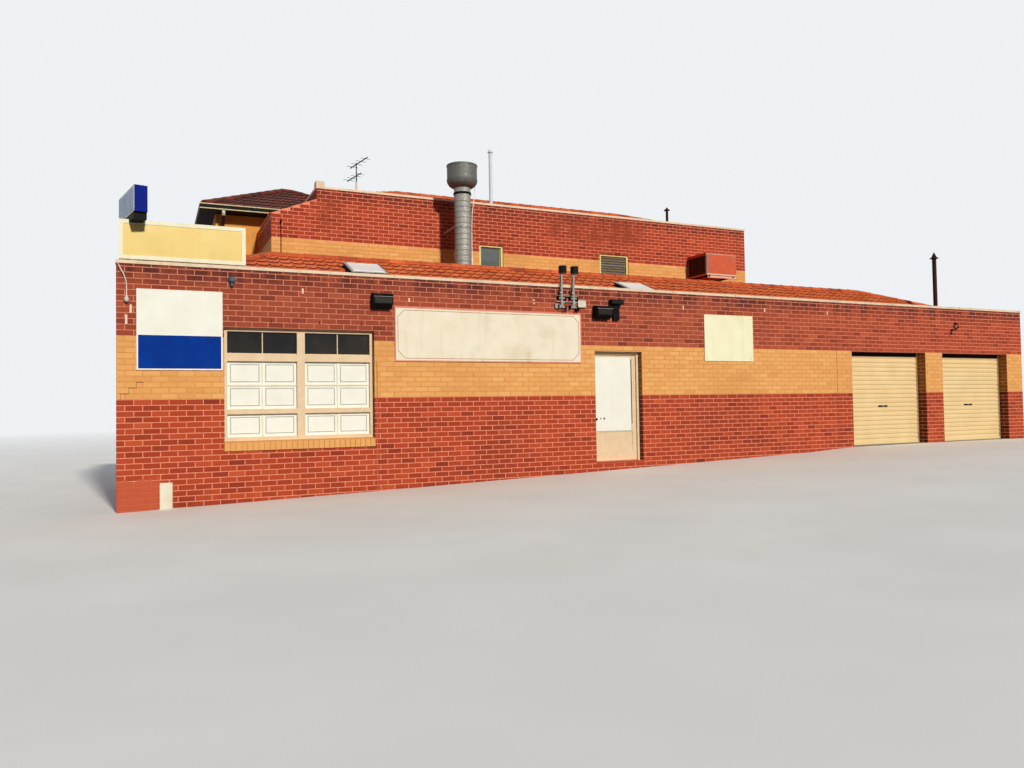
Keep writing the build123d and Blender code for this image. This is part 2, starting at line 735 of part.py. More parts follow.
def shop_door():
    """A framed leaf with a panel below and an opening for the pane above."""
    left = DOOR_LEFT + JAMB + DOOR_GAP
    bottom = SHOP_FLOOR + DOOR_GAP
    top = DOOR_TOP - JAMB - DOOR_GAP
    rail = SHOP_FLOOR + LOCK_RAIL_FROM_FLOOR
    inner_left = left + STILE
    inner_right = LEAF_RIGHT - STILE
    leaf = slab(left, LEAF_RIGHT, LEAF_FRONT, LEAF_BACK, bottom, top)
    leaf -= slab(inner_left, inner_right, LEAF_FRONT, LEAF_BACK, rail + LOCK_RAIL, top - STILE)
    recess = (LEAF - PANEL) / 2
    panel_bottom = bottom + BOTTOM_RAIL
    leaf -= slab(inner_left, inner_right, LEAF_FRONT, LEAF_FRONT + recess, panel_bottom, rail)
    leaf -= slab(inner_left, inner_right, LEAF_BACK - recess, LEAF_BACK, panel_bottom, rail)
    for height in HINGE_HEIGHTS:
        leaf += hinge_moving(SHOP_FLOOR + height)
    save(leaf, "shop_door")

    middle = LEAF_FRONT + LEAF / 2
    pane = slab(inner_left, inner_right, middle - PANE / 2, middle + PANE / 2, rail + LOCK_RAIL, top - STILE)
    save(pane, "door_pane")

    lock_x = left + STILE / 2
    lock_z = SHOP_FLOOR + LOCK_FROM_FLOOR
    plate = Plane.XZ.offset(-LEAF_FRONT) * Pos(lock_x, lock_z, 0) * Circle(LOCK_RADIUS)
    knob = Plane.XZ.offset(-LEAF_BACK) * Pos(lock_x, lock_z, 0) * Circle(LOCK_RADIUS)
    save(Compound([extrude(plate, LOCK_PLATE), extrude(knob, -LOCK_KNOB)]), "door_lock")


def roller_doors():
    """Curtains of horizontal ribs behind the two garage openings."""
    front = WALL
    for number, left in enumerate((GARAGE_1, GARAGE_2), start=1):
        height = BAND_TOP + SHUTTER_HEAD - GARAGE_FLOOR
        count = int(height // RIB_PITCH)
        pitch = height / count
        outer = []
        inner = []
        for index in range(count):
            z = GARAGE_FLOOR + index * pitch
            for share, shift in RIB:
                outer.append((front + shift, z + share * pitch))
                inner.append((front + shift + SHUTTER, z + share * pitch))
        top = GARAGE_FLOOR + height
        outer.append((front + RIB_RISE, top))
        inner.append((front + RIB_RISE + SHUTTER, top))
        curtain = along_x(inner + outer[::-1], left - SHUTTER_SIDE, left + GARAGE_WIDTH + SHUTTER_SIDE)
        save(curtain, "roller_door_%d" % number)


# Things on the roofs and walls


def flue():
    """A sheet-metal duct that stands on the street roof, with a wide cowl on top."""
    street = tiled(street_plan(), STREET_EAVE, STREET_SLOPE)
    pipe = post(FLUE_X, FLUE_Y, FLUE_RADIUS, STREET_EAVE, FLUE_TOP) - street
    for z in (FLUE_TOP - FLUE_RING_DROP, FLUE_STAY):
        pipe += post(FLUE_X, FLUE_Y, FLUE_RADIUS + FLUE_RING, z, z + FLUE_RING_HEIGHT)
    cone_top = FLUE_TOP + COWL_CONE
    top = cone_top + COWL_HEIGHT
    section = [
        (0, FLUE_TOP),
        (FLUE_RADIUS, FLUE_TOP),
        (COWL_RADIUS, cone_top),
        (COWL_RADIUS, top - COWL_BEAD_HEIGHT),
        (COWL_RADIUS + COWL_BEAD, top - COWL_BEAD_HEIGHT),
        (COWL_RADIUS + COWL_BEAD, top),
        (COWL_RADIUS - SHEET, top),
        (COWL_RADIUS - SHEET, cone_top),
        (FLUE_RADIUS, FLUE_TOP + COWL_FLOOR),
        (0, FLUE_TOP + COWL_FLOOR),
    ]
    save(turned(section, FLUE_X, FLUE_Y), "flue_cowl")

    for x in (FLUE_X - FLUE_RADIUS, FLUE_X + FLUE_RADIUS - STAY_WIDTH):
        pipe += slab(x, x + STAY_WIDTH, FLUE_Y, HOUSE_FRONT, FLUE_STAY, FLUE_STAY + STAY_HEIGHT)
    save(pipe, "flue")


def standing_on(volume, shape):
    """The part of a tall shape that stands above a roof."""
    return (shape - volume).solids().sort_by(Axis.Z)[-1]


def vent_pipes():
    street = tiled(street_plan(), STREET_EAVE, STREET_SLOPE)
    house = tiled(house_plan(), UPPER_EAVE, UPPER_SLOPE)
    pipes = []
    for vent, roof in ((HOUSE_VENT, house), (REAR_VENT, house), (GARAGE_VENT, street)):
        x, y, radius, top, point = vent
        pipe = standing_on(roof, post(x, y, radius, STREET_EAVE, top))
        rim = radius + VENT_CAP
        cap = [(0, top), (rim, top), (rim, top + VENT_CAP), (0, top + point)]
        pipes.append(pipe + turned(cap, x, y))
    save(Compound([pipe.solid() for pipe in pipes]), "vent_pipes")


def bar(x, start, end, z, side):
    """A square bar along Y."""
    return slab(x - side / 2, x + side / 2, start, end, z - side / 2, z + side / 2)


def aerial():
    """A short mast with two booms of cross rods."""
    house = tiled(house_plan(), UPPER_EAVE, UPPER_SLOPE)
    top = AERIAL_BOOMS[0][0] + 2 * AERIAL_BOOM
    mast = standing_on(house, post(AERIAL_X, AERIAL_Y, AERIAL_FOOT, UPPER_EAVE, AERIAL_FOOT_TOP))
    mast += post(AERIAL_X, AERIAL_Y, AERIAL_MAST, AERIAL_FOOT_TOP, top)
    turn = Pos(AERIAL_X, AERIAL_Y, 0) * Rot(0, 0, AERIAL_TURN)
    for z, near, far in AERIAL_BOOMS:
        mast += turn * bar(0, near, far, z, AERIAL_BOOM)
        for index in range(AERIAL_RODS):
            share = (index + 0.5) / AERIAL_RODS
            y = near + (far - near) * share
            half = AERIAL_ROD_SHORT + (AERIAL_ROD_LONG - AERIAL_ROD_SHORT) * share
            mast += turn * Pos(0, y, 0) * Rot(0, 0, 90) * bar(0, -half, half, z, AERIAL_ROD)
    save(mast, "aerial")


def cooler():
    right = COOLER_LEFT + COOLER_WIDTH
    front = HOUSE_FRONT - COOLER_DEPTH
    case = slab(COOLER_LEFT, right, front, HOUSE_FRONT, COOLER_BOTTOM, COOLER_TOP)
    lip = COOLER_LID / 2
    lid = slab(COOLER_LEFT - lip, right + lip, front - lip, HOUSE_FRONT, COOLER_TOP, COOLER_TOP + COOLER_LID)
    save(case + lid, "cooler")

    bracket = [
        (front, COOLER_BOTTOM),
        (front, COOLER_BOTTOM - BRACKET),
        (HOUSE_FRONT - BRACKET, COOLER_BOTTOM - BRACKET),
        (HOUSE_FRONT - BRACKET, COOLER_BOTTOM - 5 * BRACKET),
        (HOUSE_FRONT, COOLER_BOTTOM - 5 * BRACKET),
        (HOUSE_FRONT, COOLER_BOTTOM),
    ]
    pair = [along_x(bracket, x, x + BRACKET) for x in (COOLER_LEFT + 2 * BRACKET, right - 3 * BRACKET)]
    save(Compound(pair), "cooler_brackets")


def signs():
    left, width, bottom, height = ROOF_SIGN
    right = left + width
    top = bottom + height
    base = PARAPET_TOP + CAP
    case = slab(left, right, 0, ROOF_SIGN_DEPTH, bottom, top)
    case -= slab(left + SIGN_LIP, right - SIGN_LIP, 0, SIGN_FACE_INSET, bottom + SIGN_LIP, top - SIGN_LIP)
    foot_back = ROOF_SIGN_DEPTH - SIGN_FOOT_INSET
    for x in (left + SIGN_FOOT_FROM_END, right - SIGN_FOOT_FROM_END - SIGN_FOOT):
        case += slab(x, x + SIGN_FOOT, SIGN_FOOT_INSET, foot_back, base, bottom)
    save(case, "roof_sign")

    x, y = CORNER_SIGN
    wide, long, tall = CORNER_SIGN_SIZE
    lift = CORNER_SIGN_LIFT
    turn = Pos(x, y, top + lift) * Rot(0, 0, CORNER_SIGN_TURN)
    arm = turn * slab(0, wide, SIGN_ARM, long / 2, -SIGN_ARM - lift, 0)
    arm -= slab(left, right, 0, long, base, top)
    save(turn * slab(0, wide, 0, long, 0, tall) + arm, "corner_sign")


def boards():
    sizes = {"left_board": LEFT_BOARD, "long_board": LONG_BOARD, "small_board": SMALL_BOARD}
    for name, (left, right, bottom, top) in sizes.items():
        save(slab(left, right, -BOARD, 0, bottom, top), name)


def wall_fittings():
    lamps = []
    for left, bottom in FLOODLIGHTS:
        side = [(y, bottom + z) for y, z in FLOODLIGHT_SIDE]
        lamps.append(along_x(side, left, left + FLOODLIGHT_WIDTH))
    right = LAMP_LEFT + LAMP_WIDTH
    lamp = slab(LAMP_LEFT, right, -LAMP_DEPTH, 0, LAMP_BOTTOM, LAMP_TOP)
    inset = LAMP_WIDTH / 4
    lamp += slab(LAMP_LEFT + inset, right - inset, -LAMP_BOX_DEPTH, 0, LAMP_BOX_BOTTOM, LAMP_BOTTOM)
    save(Compound(lamps + [lamp.solid()]), "floodlights")

    masts = []
    for x in MAST_X:
        y = -MAST_RADIUS - CAP_OVER
        mast = post(x, y, MAST_RADIUS, MAST_BOTTOM, MAST_TOP)
        mast += post(x + MAST_HEAD_SHIFT, y, MAST_HEAD, MAST_TOP, MAST_TOP + MAST_HEAD_HEIGHT)
        mast += slab(x - MAST_CLIP, x + MAST_CLIP, y, 0, MAST_BOTTOM, MAST_BOTTOM + MAST_CLIP_HEIGHT)
        masts.append(mast)
    save(Compound(masts), "service_masts")


os.makedirs("parts", exist_ok=True)
street_walls()
side_walls()
floors()
house_walls()
wing_walls()
roofs()
skylights()
eaves()
downpipe()
cappings()
shop_windows()
small_windows()
door_frame()
shop_door()
roller_doors()
flue()
vent_pipes()
aerial()
cooler()
signs()
boards()
wall_fittings()
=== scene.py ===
import json
import math
import random

import bpy
from mathutils import Matrix, Vector


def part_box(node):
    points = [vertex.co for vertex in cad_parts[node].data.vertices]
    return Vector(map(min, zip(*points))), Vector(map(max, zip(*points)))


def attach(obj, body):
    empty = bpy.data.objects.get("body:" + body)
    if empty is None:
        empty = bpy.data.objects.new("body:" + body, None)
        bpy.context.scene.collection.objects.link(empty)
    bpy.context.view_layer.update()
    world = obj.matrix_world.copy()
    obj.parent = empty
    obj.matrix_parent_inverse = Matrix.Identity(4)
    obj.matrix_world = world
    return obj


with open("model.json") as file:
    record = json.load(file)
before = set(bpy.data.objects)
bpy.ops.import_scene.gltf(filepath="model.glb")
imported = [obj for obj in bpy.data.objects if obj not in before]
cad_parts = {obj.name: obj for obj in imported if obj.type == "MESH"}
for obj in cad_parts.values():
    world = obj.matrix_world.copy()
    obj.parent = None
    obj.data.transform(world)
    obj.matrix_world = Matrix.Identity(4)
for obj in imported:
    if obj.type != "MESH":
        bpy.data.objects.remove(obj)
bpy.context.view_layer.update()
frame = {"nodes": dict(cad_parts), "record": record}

# Places are written in metres from the building's left front corner at the lowest ground:
# X along the street, Y into the building, Z up. ORIGIN is that corner in the row frame.
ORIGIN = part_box("window_wall")[0]
UP = Vector((0, 0, 1))
RIGHT = Vector((1, 0, 0))
BACK = Vector((0, 1, 0))

BUILDING = "building"
DOOR = "door_leaf"

# Camera, solved from the brick joints of the street face
LENS = 27.78
CAMERA_PLACE = (0.430, -12.942, 1.442)
CAMERA_YAW = math.radians(24.704)
CAMERA_PITCH = math.radians(1.735)
CAMERA_ROLL = math.radians(-0.926)

# Sun, and the soft light that comes from the front and from behind the building
SUN_PLACE = (0.10, -0.90, 0.42)
SUN_ENERGY = 3.18
SUN_COLOUR = (1.0, 0.93, 0.82)
FRONT_FILL = 0.10
BACK_FILL = 1.10
FILL_COLOUR = (0.80, 0.88, 1.0, 1)
SEEN_COLOUR = (0.86, 0.88, 0.90, 1)

# Bricks: size with joints, how far their faces stand out, and the smallest pieces that are laid
BRICK = 0.240
COURSE = 0.086
JOINT = 0.013
RELIEF = 0.005
UNEVEN = 0.0008
ARRIS = 0.0025
SHORTEST = 0.04
LOWEST = 0.02
ODD_SHARE = 0.03
BOND_START = 0.109
BAND_BOTTOM = 1.654
BAND_TOP = 2.600
STREET_BAND = (BAND_BOTTOM, BAND_TOP)
HOUSE_BAND = (4.314, 5.260)

# Movement joints in the street face, as place and top, and the width of their filler
MOVEMENT_JOINTS = ((3.900, 2.280), (14.352, 3.600))
FILLER = 0.006

# Roofs and their tiles
ROOF = 0.110
RIDGE_RADIUS = 0.080
END_GUTTER = 0.430
TILE_COVER = 0.215
TILE_GAUGE = 0.345
TILE_BUTT = 0.030
TILE_HEAD = 0.004
HIP_SLACK = 0.05
CAP_LENGTH = 0.33
CAP_RADIUS = 0.105
CAP_TAPER = 0.86
CAP_FLATNESS = 0.75
CAP_LAP = 0.02
CAP_BED = 0.016

# Shop windows: width of the frame and heights of the two rails
FRAME = 0.055
MULLION = 0.125
LOWER_RAIL = (1.412, 1.490)
UPPER_RAIL = (2.246, 2.359)

# Roller doors with the middles of their locks, and how far they reach behind the wall at each side
DOOR_LAP = 0.06
ROLLER_DOORS = {"roller_door_1": 16.02, "roller_door_2": 19.00}

# The corner sign, over the roof sign and turned a little to it
SIGN_SIZE = (0.18, 1.05, 0.385)
SIGN_CORNER = (0.245, -0.35)
SIGN_TURN = math.radians(12.6)
SIGN_GAP = 0.055

# The round flue and the height where the lowest seam of its duct shows
FLUE_RADIUS = 0.190
FLUE_FOOT = 4.2

# The street rises to the right: places along the front and the height of the ground there
GROUND = ((-90, 0), (0, 0), (4, 0.10), (8, 0.215), (13.5, 0.375), (14.6, 0.44), (17.2, 0.462), (90, 0.464))
GROUND_DEPTH = 90
GROUND_GAP = 0.002
GROUND_FADE = (60, 16)
GROUND_DARK = (0.86, 0.86, 0.85, 1)
GROUND_LIGHT = (0.92, 0.92, 0.91, 1)
GROUND_BOUNCE = (0.22, 0.21, 0.20, 1)


def span(node):
    """Lowest and highest corner of a CAD node in the building's own metres."""
    low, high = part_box(node)
    return low - ORIGIN, high - ORIGIN


def solids(node):
    """Boxes of the separate solids in a CAD node, in building metres, from left to right."""
    piece = frame["nodes"][node]
    groups = []
    for face in piece.data.polygons:
        points = [piece.matrix_world @ piece.data.vertices[index].co for index in face.vertices]
        corners = {tuple(round(part, 4) for part in point) for point in points}
        touching = [group for group in groups if group & corners]
        groups = [group for group in groups if not group & corners]
        groups.append(corners.union(*touching))
    boxes = []
    for group in groups:
        low = Vector([min(point[axis] for point in group) for axis in range(3)])
        high = Vector([max(point[axis] for point in group) for axis in range(3)])
        boxes.append((low - ORIGIN, high - ORIGIN))
    return sorted(boxes, key=lambda box: box[0].x)


def placed(name, data):
    """A new object in the scene."""
    item = bpy.data.objects.new(name, data)
    bpy.context.scene.collection.objects.link(item)
    return item


# Materials


def sight(red, green, blue):
    """A colour as a picture shows it, from 0 to 255, turned into the renderer's values."""
    return tuple(((part / 255 + 0.055) / 1.055) ** 2.4 for part in (red, green, blue)) + (1.0,)


def give(tree, node, inputs):
    """Gives a node's inputs their values, with a link where a value is another node's output."""
    for name, value in inputs.items():
        if isinstance(value, bpy.types.NodeSocket):
            tree.links.new(value, node.inputs[name])
        else:
            node.inputs[name].default_value = value


def add_node(tree, kind, inputs, operation=None):
    """A new node; its inputs go by name, or by number where names repeat."""
    node = tree.nodes.new(kind)
    if operation:
        node.operation = operation
    give(tree, node, inputs)
    return node


def fade(tree, value, low, high, first=0.0, last=1.0):
    """Runs from first to last while the value runs from low to high."""
    inputs = {"Value": value, "From Min": low, "From Max": high, "To Min": first, "To Max": last}
    return add_node(tree, "ShaderNodeMapRange", inputs).outputs["Result"]


class Shader:
    """A material and the few kinds of node that its look is built from."""

    def __init__(self, name, rough=0.7, metal=0.0, gloss=0.5):
        self.material = bpy.data.materials.new(name)
        self.material.use_nodes = True
        self.tree = self.material.node_tree
        self.place = self.tree.nodes.new("ShaderNodeTexCoord").outputs["Object"]
        self.surface({"Roughness": rough, "Metallic": metal, "Specular IOR Level": gloss})

    def surface(self, inputs):
        give(self.tree, self.tree.nodes["Principled BSDF"], inputs)

    def noise(self, scale, stretch=(1, 1, 1), detail=5):
        """Soft grain from 0 to 1; a large stretch value makes the grain fine along that axis."""
        mapping = add_node(self.tree, "ShaderNodeMapping", {"Vector": self.place, "Scale": stretch})
        inputs = {"Vector": mapping.outputs["Vector"], "Scale": scale, "Detail": detail}
        return add_node(self.tree, "ShaderNodeTexNoise", inputs).outputs["Fac"]

    def tone(self, share, grain):
        """The value that each brick or tile carries; fine grain takes up the rest of the share."""
        own = self.tree.nodes.new("ShaderNodeAttribute")
        own.attribute_name = "tone"
        fine = self.times(self.noise(grain), 1 - share)
        return self.maths("ADD", self.times(own.outputs["Fac"], share), fine)

    def along(self, axis):
        return add_node(self.tree, "ShaderNodeSeparateXYZ", {"Vector": self.place}).outputs[axis]

    def maths(self, operation, first, second):
        return add_node(self.tree, "ShaderNodeMath", {0: first, 1: second}, operation).outputs["Value"]

    def times(self, product, *factors):
        for factor in factors:
            product = self.maths("MULTIPLY", product, factor)
        return product

    def beyond(self, axis, place):
        """1 past a place along an axis and 0 before it."""
        return self.maths("GREATER_THAN", self.along(axis), place)

    def within(self, axis, low, high):
        """1 between two places along an axis and 0 outside."""
        return self.times(self.beyond(axis, low), self.maths("LESS_THAN", self.along(axis), high))

    def fade(self, value, low, high, first=0.0, last=1.0):
        return fade(self.tree, value, low, high, first, last)

    def patches(self, low, high, most, scale, stretch=(1, 1, 1), detail=5):
        """Grain that shows from a low value on and reaches its most at a high one."""
        return self.fade(self.noise(scale, stretch, detail), low, high, 0.0, most)

    def ramp(self, value, stops):
        """A run of colours; stops are pairs of place and colour, from 0 to 255."""
        node = add_node(self.tree, "ShaderNodeValToRGB", {"Fac": value})
        bar = node.color_ramp.elements
        while len(bar) < len(stops):
            bar.new(0.5)
        for element, (place, shade) in zip(bar, stops):
            element.position = place
            element.color = sight(*shade)
        return node.outputs["Color"]

    def two_tone(self, grain, dark, light):
        return self.ramp(grain, [(0.3, dark), (0.7, light)])

    def mix(self, share, first, second):
        node = self.tree.nodes.new("ShaderNodeMix")
        node.data_type = "RGBA"
        give(self.tree, node, {"Factor": share, "A": first, "B": second})
        return node.outputs["Result"]

    def wander(self, scale, low, high):
        """Roughness that changes between two values from place to place."""
        self.surface({"Roughness": self.fade(self.noise(scale), 0.3, 0.7, low, high)})

    def bump(self, scale, depth, detail=5):
        inputs = {"Height": self.noise(scale, detail=detail), "Distance": depth, "Strength": 1.0}
        self.surface({"Normal": add_node(self.tree, "ShaderNodeBump", inputs).outputs["Normal"]})

    def done(self, shade):
        self.surface({"Base Color": shade})
        return self.material


# A top for brickwork whose upper edge shows no stain
OUT_OF_REACH = 99

DIRT = (0.30, 0.24, 0.18, 1)
TAN_DIRT = (0.46, 0.30, 0.16, 1)
OCHRE_DIRT = (0.50, 0.34, 0.18, 1)
PALE_DIRT = (0.62, 0.54, 0.40, 1)
BLUE_DIRT = (0.01, 0.03, 0.12, 1)
SOOT = sight(70, 30, 30)
DARK_MOSS = sight(40, 30, 30)
SMUDGE = sight(146, 62, 38)
PATCH_PAINT = sight(199, 94, 63)


def painted(name, dark, light, rough=0.6, grain=6, soil=0.25, gloss=0.25, dirt=DIRT):
    """Paint on sheet or timber: two close shades, soil that gathers in patches, faint unevenness."""
    look = Shader(name, rough, gloss=gloss)
    shade = look.two_tone(look.noise(grain), dark, light)
    shade = look.mix(look.patches(0.52, 0.78, soil, 2.3, detail=8), shade, dirt)
    shade = look.mix(look.patches(0.55, 0.8, soil, 9, (1, 1, 0.08)), shade, dirt)
    look.wander(14, rough - 0.08, rough + 0.12)
    look.bump(60, 0.0006)
    return look.done(shade)


def upper_share(look):
    """The bricks over the pale band are darker, most of all towards the corner."""
    toward_corner = look.fade(look.along("X"), ORIGIN.x + 20, ORIGIN.x + 10, 0.25, 1.0)
    return look.times(look.beyond("Z", BAND_TOP), toward_corner)


def patched(look, shade):
    """Lays a low patch at the corner, where paint has covered bricks and joints alike."""
    beside = look.fade(look.along("X"), ORIGIN.x + 0.60, ORIGIN.x + 0.54)
    ragged = look.maths("ADD", look.along("Z"), look.fade(look.noise(9), 0.3, 0.7, -0.05, 0.05))
    front = look.maths("LESS_THAN", look.along("Y"), ORIGIN.y + 0.02)
    cover = 0.85
    share = look.times(beside, look.fade(ragged, 0.47, 0.43), front, cover)
    return look.mix(share, shade, PATCH_PAINT)


def smudged(look, shade, smears):
    """Lays soft dark patches over bricks and mortar; each has its left, right, bottom and top."""
    soft = 0.35
    across = look.along("X")
    height = look.along("Z")
    for left, right, bottom, top in smears:
        share = look.times(
            look.fade(across, ORIGIN.x + left, ORIGIN.x + left + soft),
            look.fade(across, ORIGIN.x + right, ORIGIN.x + right - soft),
            look.fade(height, bottom, bottom + soft),
            look.fade(height, top, top - soft / 2),
            look.patches(0.34, 0.60, 0.8, 3.5, (1, 1, 0.6), 8),
        )
        shade = look.mix(share, shade, SMUDGE)
    return shade


def brick_look(name, stops, top=OUT_OF_REACH, soot=SOOT, upper=None, smears=()):
    """Brick faces; each brick has its own tone, and the wall's top and foot are stained."""
    look = Shader(name, 0.82, gloss=0.25)
    tone = look.tone(0.78, 26)
    shade = look.ramp(tone, stops)
    if upper:
        shade = look.mix(upper_share(look), shade, look.ramp(tone, upper))
    height = look.along("Z")
    near_top = look.fade(height, top - 0.36, top - 0.10)
    stain = 0.85 if upper else 0.70
    runs = look.patches(0.30, 0.58, stain, 5, (1, 1, 0.12), 8)
    shade = look.mix(look.times(near_top, runs), shade, soot)
    shade = look.mix(look.patches(0.50, 0.74, 0.32, 0.55, detail=6), shade, soot)
    shade = smudged(look, shade, smears)
    splash = look.patches(0.42, 0.7, 0.3, 7, detail=8)
    shade = look.mix(look.times(look.fade(height, 0.40, 0.05), splash), shade, soot)
    look.bump(140, 0.0016, 8)
    return look.done(patched(look, shade))


def mortar_look(name, band, upper=False, smears=()):
    """Mortar beds, pinkish between red bricks and sandy between cream ones."""
    look = Shader(name, 0.92, gloss=0.15)
    grain = look.noise(18, detail=8)
    red = look.two_tone(grain, (228, 136, 108), (242, 156, 128))
    if upper:
        red = look.mix(upper_share(look), red, look.two_tone(grain, (200, 122, 98), (220, 142, 116)))
    sandy = look.two_tone(grain, (214, 148, 84), (226, 162, 96))
    shade = smudged(look, look.mix(look.within("Z", *band), red, sandy), smears)
    look.bump(90, 0.001)
    return look.done(patched(look, shade))


def render_look():
    """Painted cement render with a faint trowelled unevenness."""
    look = Shader("wing_render", 0.85, gloss=0.2)
    shade = look.two_tone(look.noise(3, detail=8), (214, 146, 66), (232, 166, 84))
    look.bump(35, 0.002, 8)
    return look.done(look.mix(look.patches(0.55, 0.8, 0.35, 4, (1, 1, 0.1)), shade, sight(150, 104, 56)))


def tile_look(name, stops, moss=SOOT):
    """Clay tiles, each with its own firing shade, and lichen and soot in patches."""
    look = Shader(name, 0.72, gloss=0.25)
    shade = look.ramp(look.tone(0.7, 12), stops)
    look.bump(70, 0.0015)
    return look.done(look.mix(look.patches(0.50, 0.72, 0.55, 2.1, detail=9), shade, moss))


def zinc_look(name, dark, light):
    """Weathered galvanised sheet with faint spangle and dull streaks."""
    look = Shader(name, 0.6, 0.45)
    spangle = look.two_tone(look.noise(38), dark, light)
    look.wander(20, 0.52, 0.72)
    look.bump(24, 0.0012)
    return look.done(look.mix(look.patches(0.45, 0.75, 0.6, 8, (1, 1, 0.06)), spangle, sight(102, 101, 94)))


def split_look(name, axis, place, near, far):
    """Paint that changes at a place along an axis; near and far are pairs of close shades."""
    look = Shader(name, 0.65, gloss=0.10)
    grain = look.noise(14, detail=6)
    shades = [look.two_tone(grain, *pair) for pair in (near, far)]
    look.bump(60, 0.0005)
    return look.done(look.mix(look.beyond(axis, place), *shades))


def eaves_look():
    """Dark gutter and soffit with a pale bead along the top and a pale board at the foot."""
    low, high = span("wing_eaves")
    look = Shader("eaves_paint", 0.7, gloss=0.1)
    grain = look.noise(10, detail=6)
    dark = look.two_tone(grain, (20, 17, 15), (34, 29, 26))
    pale = look.two_tone(grain, (206, 192, 150), (226, 214, 174))
    board = look.within("Z", low.z + 0.002, low.z + 0.024)
    look.bump(40, 0.0006)
    return look.done(look.mix(look.maths("ADD", look.beyond("Z", high.z - 0.022), board), dark, pale))


def glass_look(name, dark, light, rough, gloss):
    look = Shader(name, rough, gloss=gloss)
    look.wander(5, rough, rough + 0.12)
    return look.done(look.ramp(look.noise(1.7, detail=3), [(0.35, dark), (0.65, light)]))


DARK_PAINT = ((12, 12, 14), (26, 26, 29))
PALE_PAINT = ((206, 202, 190), (228, 226, 214))
BROWN_PAINT = ((46, 24, 18), (66, 34, 26))
GREY_PAINT = ((150, 148, 142), (178, 176, 170))
DEEP_BLUE = ((0, 24, 124), (2, 32, 144))
VENT_WHITE = ((200, 222, 240), (212, 234, 250))
SIGN_FOOT = span("roof_sign")[1].z + SIGN_GAP
MAST_HEADS = span("service_masts")[1].z - 0.14
AERIAL_FOOT = 7.0
PIPE_HEAD = span("downpipe")[1].z - 0.12
BROWN_VENTS = ORIGIN.x + 12

RED_STOPS = [(0.05, (126, 46, 30)), (0.30, (160, 60, 34)), (0.60, (180, 70, 39)), (0.90, (198, 86, 49))]
UPPER_STOPS = [(0.05, (110, 46, 35)), (0.30, (148, 65, 46)), (0.60, (169, 78, 53)), (0.90, (187, 95, 65))]
HOUSE_STOPS = [(0.05, (117, 40, 26)), (0.30, (152, 54, 31)), (0.60, (173, 65, 37)), (0.90, (192, 82, 48))]
CREAM_STOPS = [(0.1, (220, 158, 92)), (0.5, (232, 172, 104)), (0.9, (238, 184, 118))]
CLAY_STOPS = [(0.1, (204, 92, 48)), (0.5, (234, 120, 61)), (0.9, (243, 146, 86))]
DARK_STOPS = [(0.1, (60, 25, 22)), (0.5, (100, 44, 35)), (0.9, (138, 66, 52))]

# Dark smears on the house wall: left, right, bottom and top
SMEARS = ((9.5, 12.7, 5.55, 6.45), (3.7, 4.5, 5.45, 6.35))

LOOKS = {
    "brick": mortar_look("mortar", STREET_BAND, upper=True),
    "concrete": painted("concrete", (120, 118, 112), (150, 147, 140), 0.9, 12),
    "terracotta_tile": tile_look("clay_bed", CLAY_STOPS, sight(110, 46, 30)),
    "dark_tile": tile_look("dark_bed", DARK_STOPS, DARK_MOSS),
    "cream_render": render_look(),
    "cream_metal": painted("cream_metal", (228, 204, 176), (238, 216, 192), 0.5, 5, soil=0.4),
    "cream_timber": painted("cream_timber", (226, 200, 164), (234, 210, 178), 0.5, 9, soil=0.15),
    "zinc": zinc_look("zinc", (134, 137, 132), (174, 175, 170)),
    "dark_metal": painted("dark_metal", *DARK_PAINT, 0.75, 20, soil=0.04, gloss=0.08),
    "white_metal": painted("white_metal", *PALE_PAINT, 0.5, 12, soil=0.3),
    "sign_board": painted("sign_board", (236, 228, 204), (242, 237, 220), 0.6, 3, soil=0.3, dirt=TAN_DIRT),
    "sign_case": painted("sign_case", (238, 234, 204), (243, 241, 218), 0.5, 8, soil=0.15),
    "blue_case": split_look("corner_sign_case", "Z", SIGN_FOOT, DARK_PAINT, DEEP_BLUE),
    "red_case": painted("cooler_paint", (200, 85, 54), (214, 100, 66), 0.6, 6, soil=0.2),
    "glass": glass_look("dark_glass", (8, 7, 5), (42, 38, 30), 0.08, 0.3),
    "skylight": glass_look("clouded_sheet", (226, 222, 222), (240, 238, 238), 0.4, 0.4),
}
CREAM_METAL = LOOKS["cream_metal"]
CREAM_PAINT = LOOKS["cream_timber"]
DARK = LOOKS["dark_metal"]
WHITE = LOOKS["white_metal"]
ZINC = LOOKS["zinc"]
BOARD = LOOKS["sign_board"]

HOUSE_MORTAR = mortar_look("house_mortar", HOUSE_BAND, smears=SMEARS)
RED = brick_look("red_brick", RED_STOPS, span("window_wall")[1].z, upper=UPPER_STOPS)
CREAM = brick_look("cream_brick", CREAM_STOPS, soot=sight(168, 106, 54))
# Darker red and cream bricks for the cheeks of the openings: painted shade inside the reveals
CHEEK_RED_SHADE = brick_look("cheek_red_painted_shade", DARK_STOPS)
CHEEK_CREAM_SHADE = brick_look("cheek_cream_painted_shade", [(0.1, (128, 84, 48)), (0.9, (160, 108, 64))])
HOUSE_RED = brick_look("house_brick", HOUSE_STOPS, span("house_street_wall")[1].z, smears=SMEARS)

CLAY = tile_look("clay_tile", CLAY_STOPS, sight(150, 62, 38))
# Darker clay for the tile butts: painted shade of the gap under each course
CLAY_BUTT_SHADE = tile_look("clay_tile_butt_painted_shade", [(0.1, (96, 34, 22)), (0.9, (140, 56, 36))])
RIDGE_CLAY = tile_look("ridge_clay", [(0.1, (166, 68, 38)), (0.9, (222, 112, 62))])
DARK_CLAY = tile_look("dark_tile", DARK_STOPS, DARK_MOSS)
# Darker butts for the wing's tiles: painted shade under each course
DARK_BUTT_SHADE = tile_look("dark_tile_butt_painted_shade", [(0.1, (34, 16, 15)), (0.9, (60, 28, 24))])

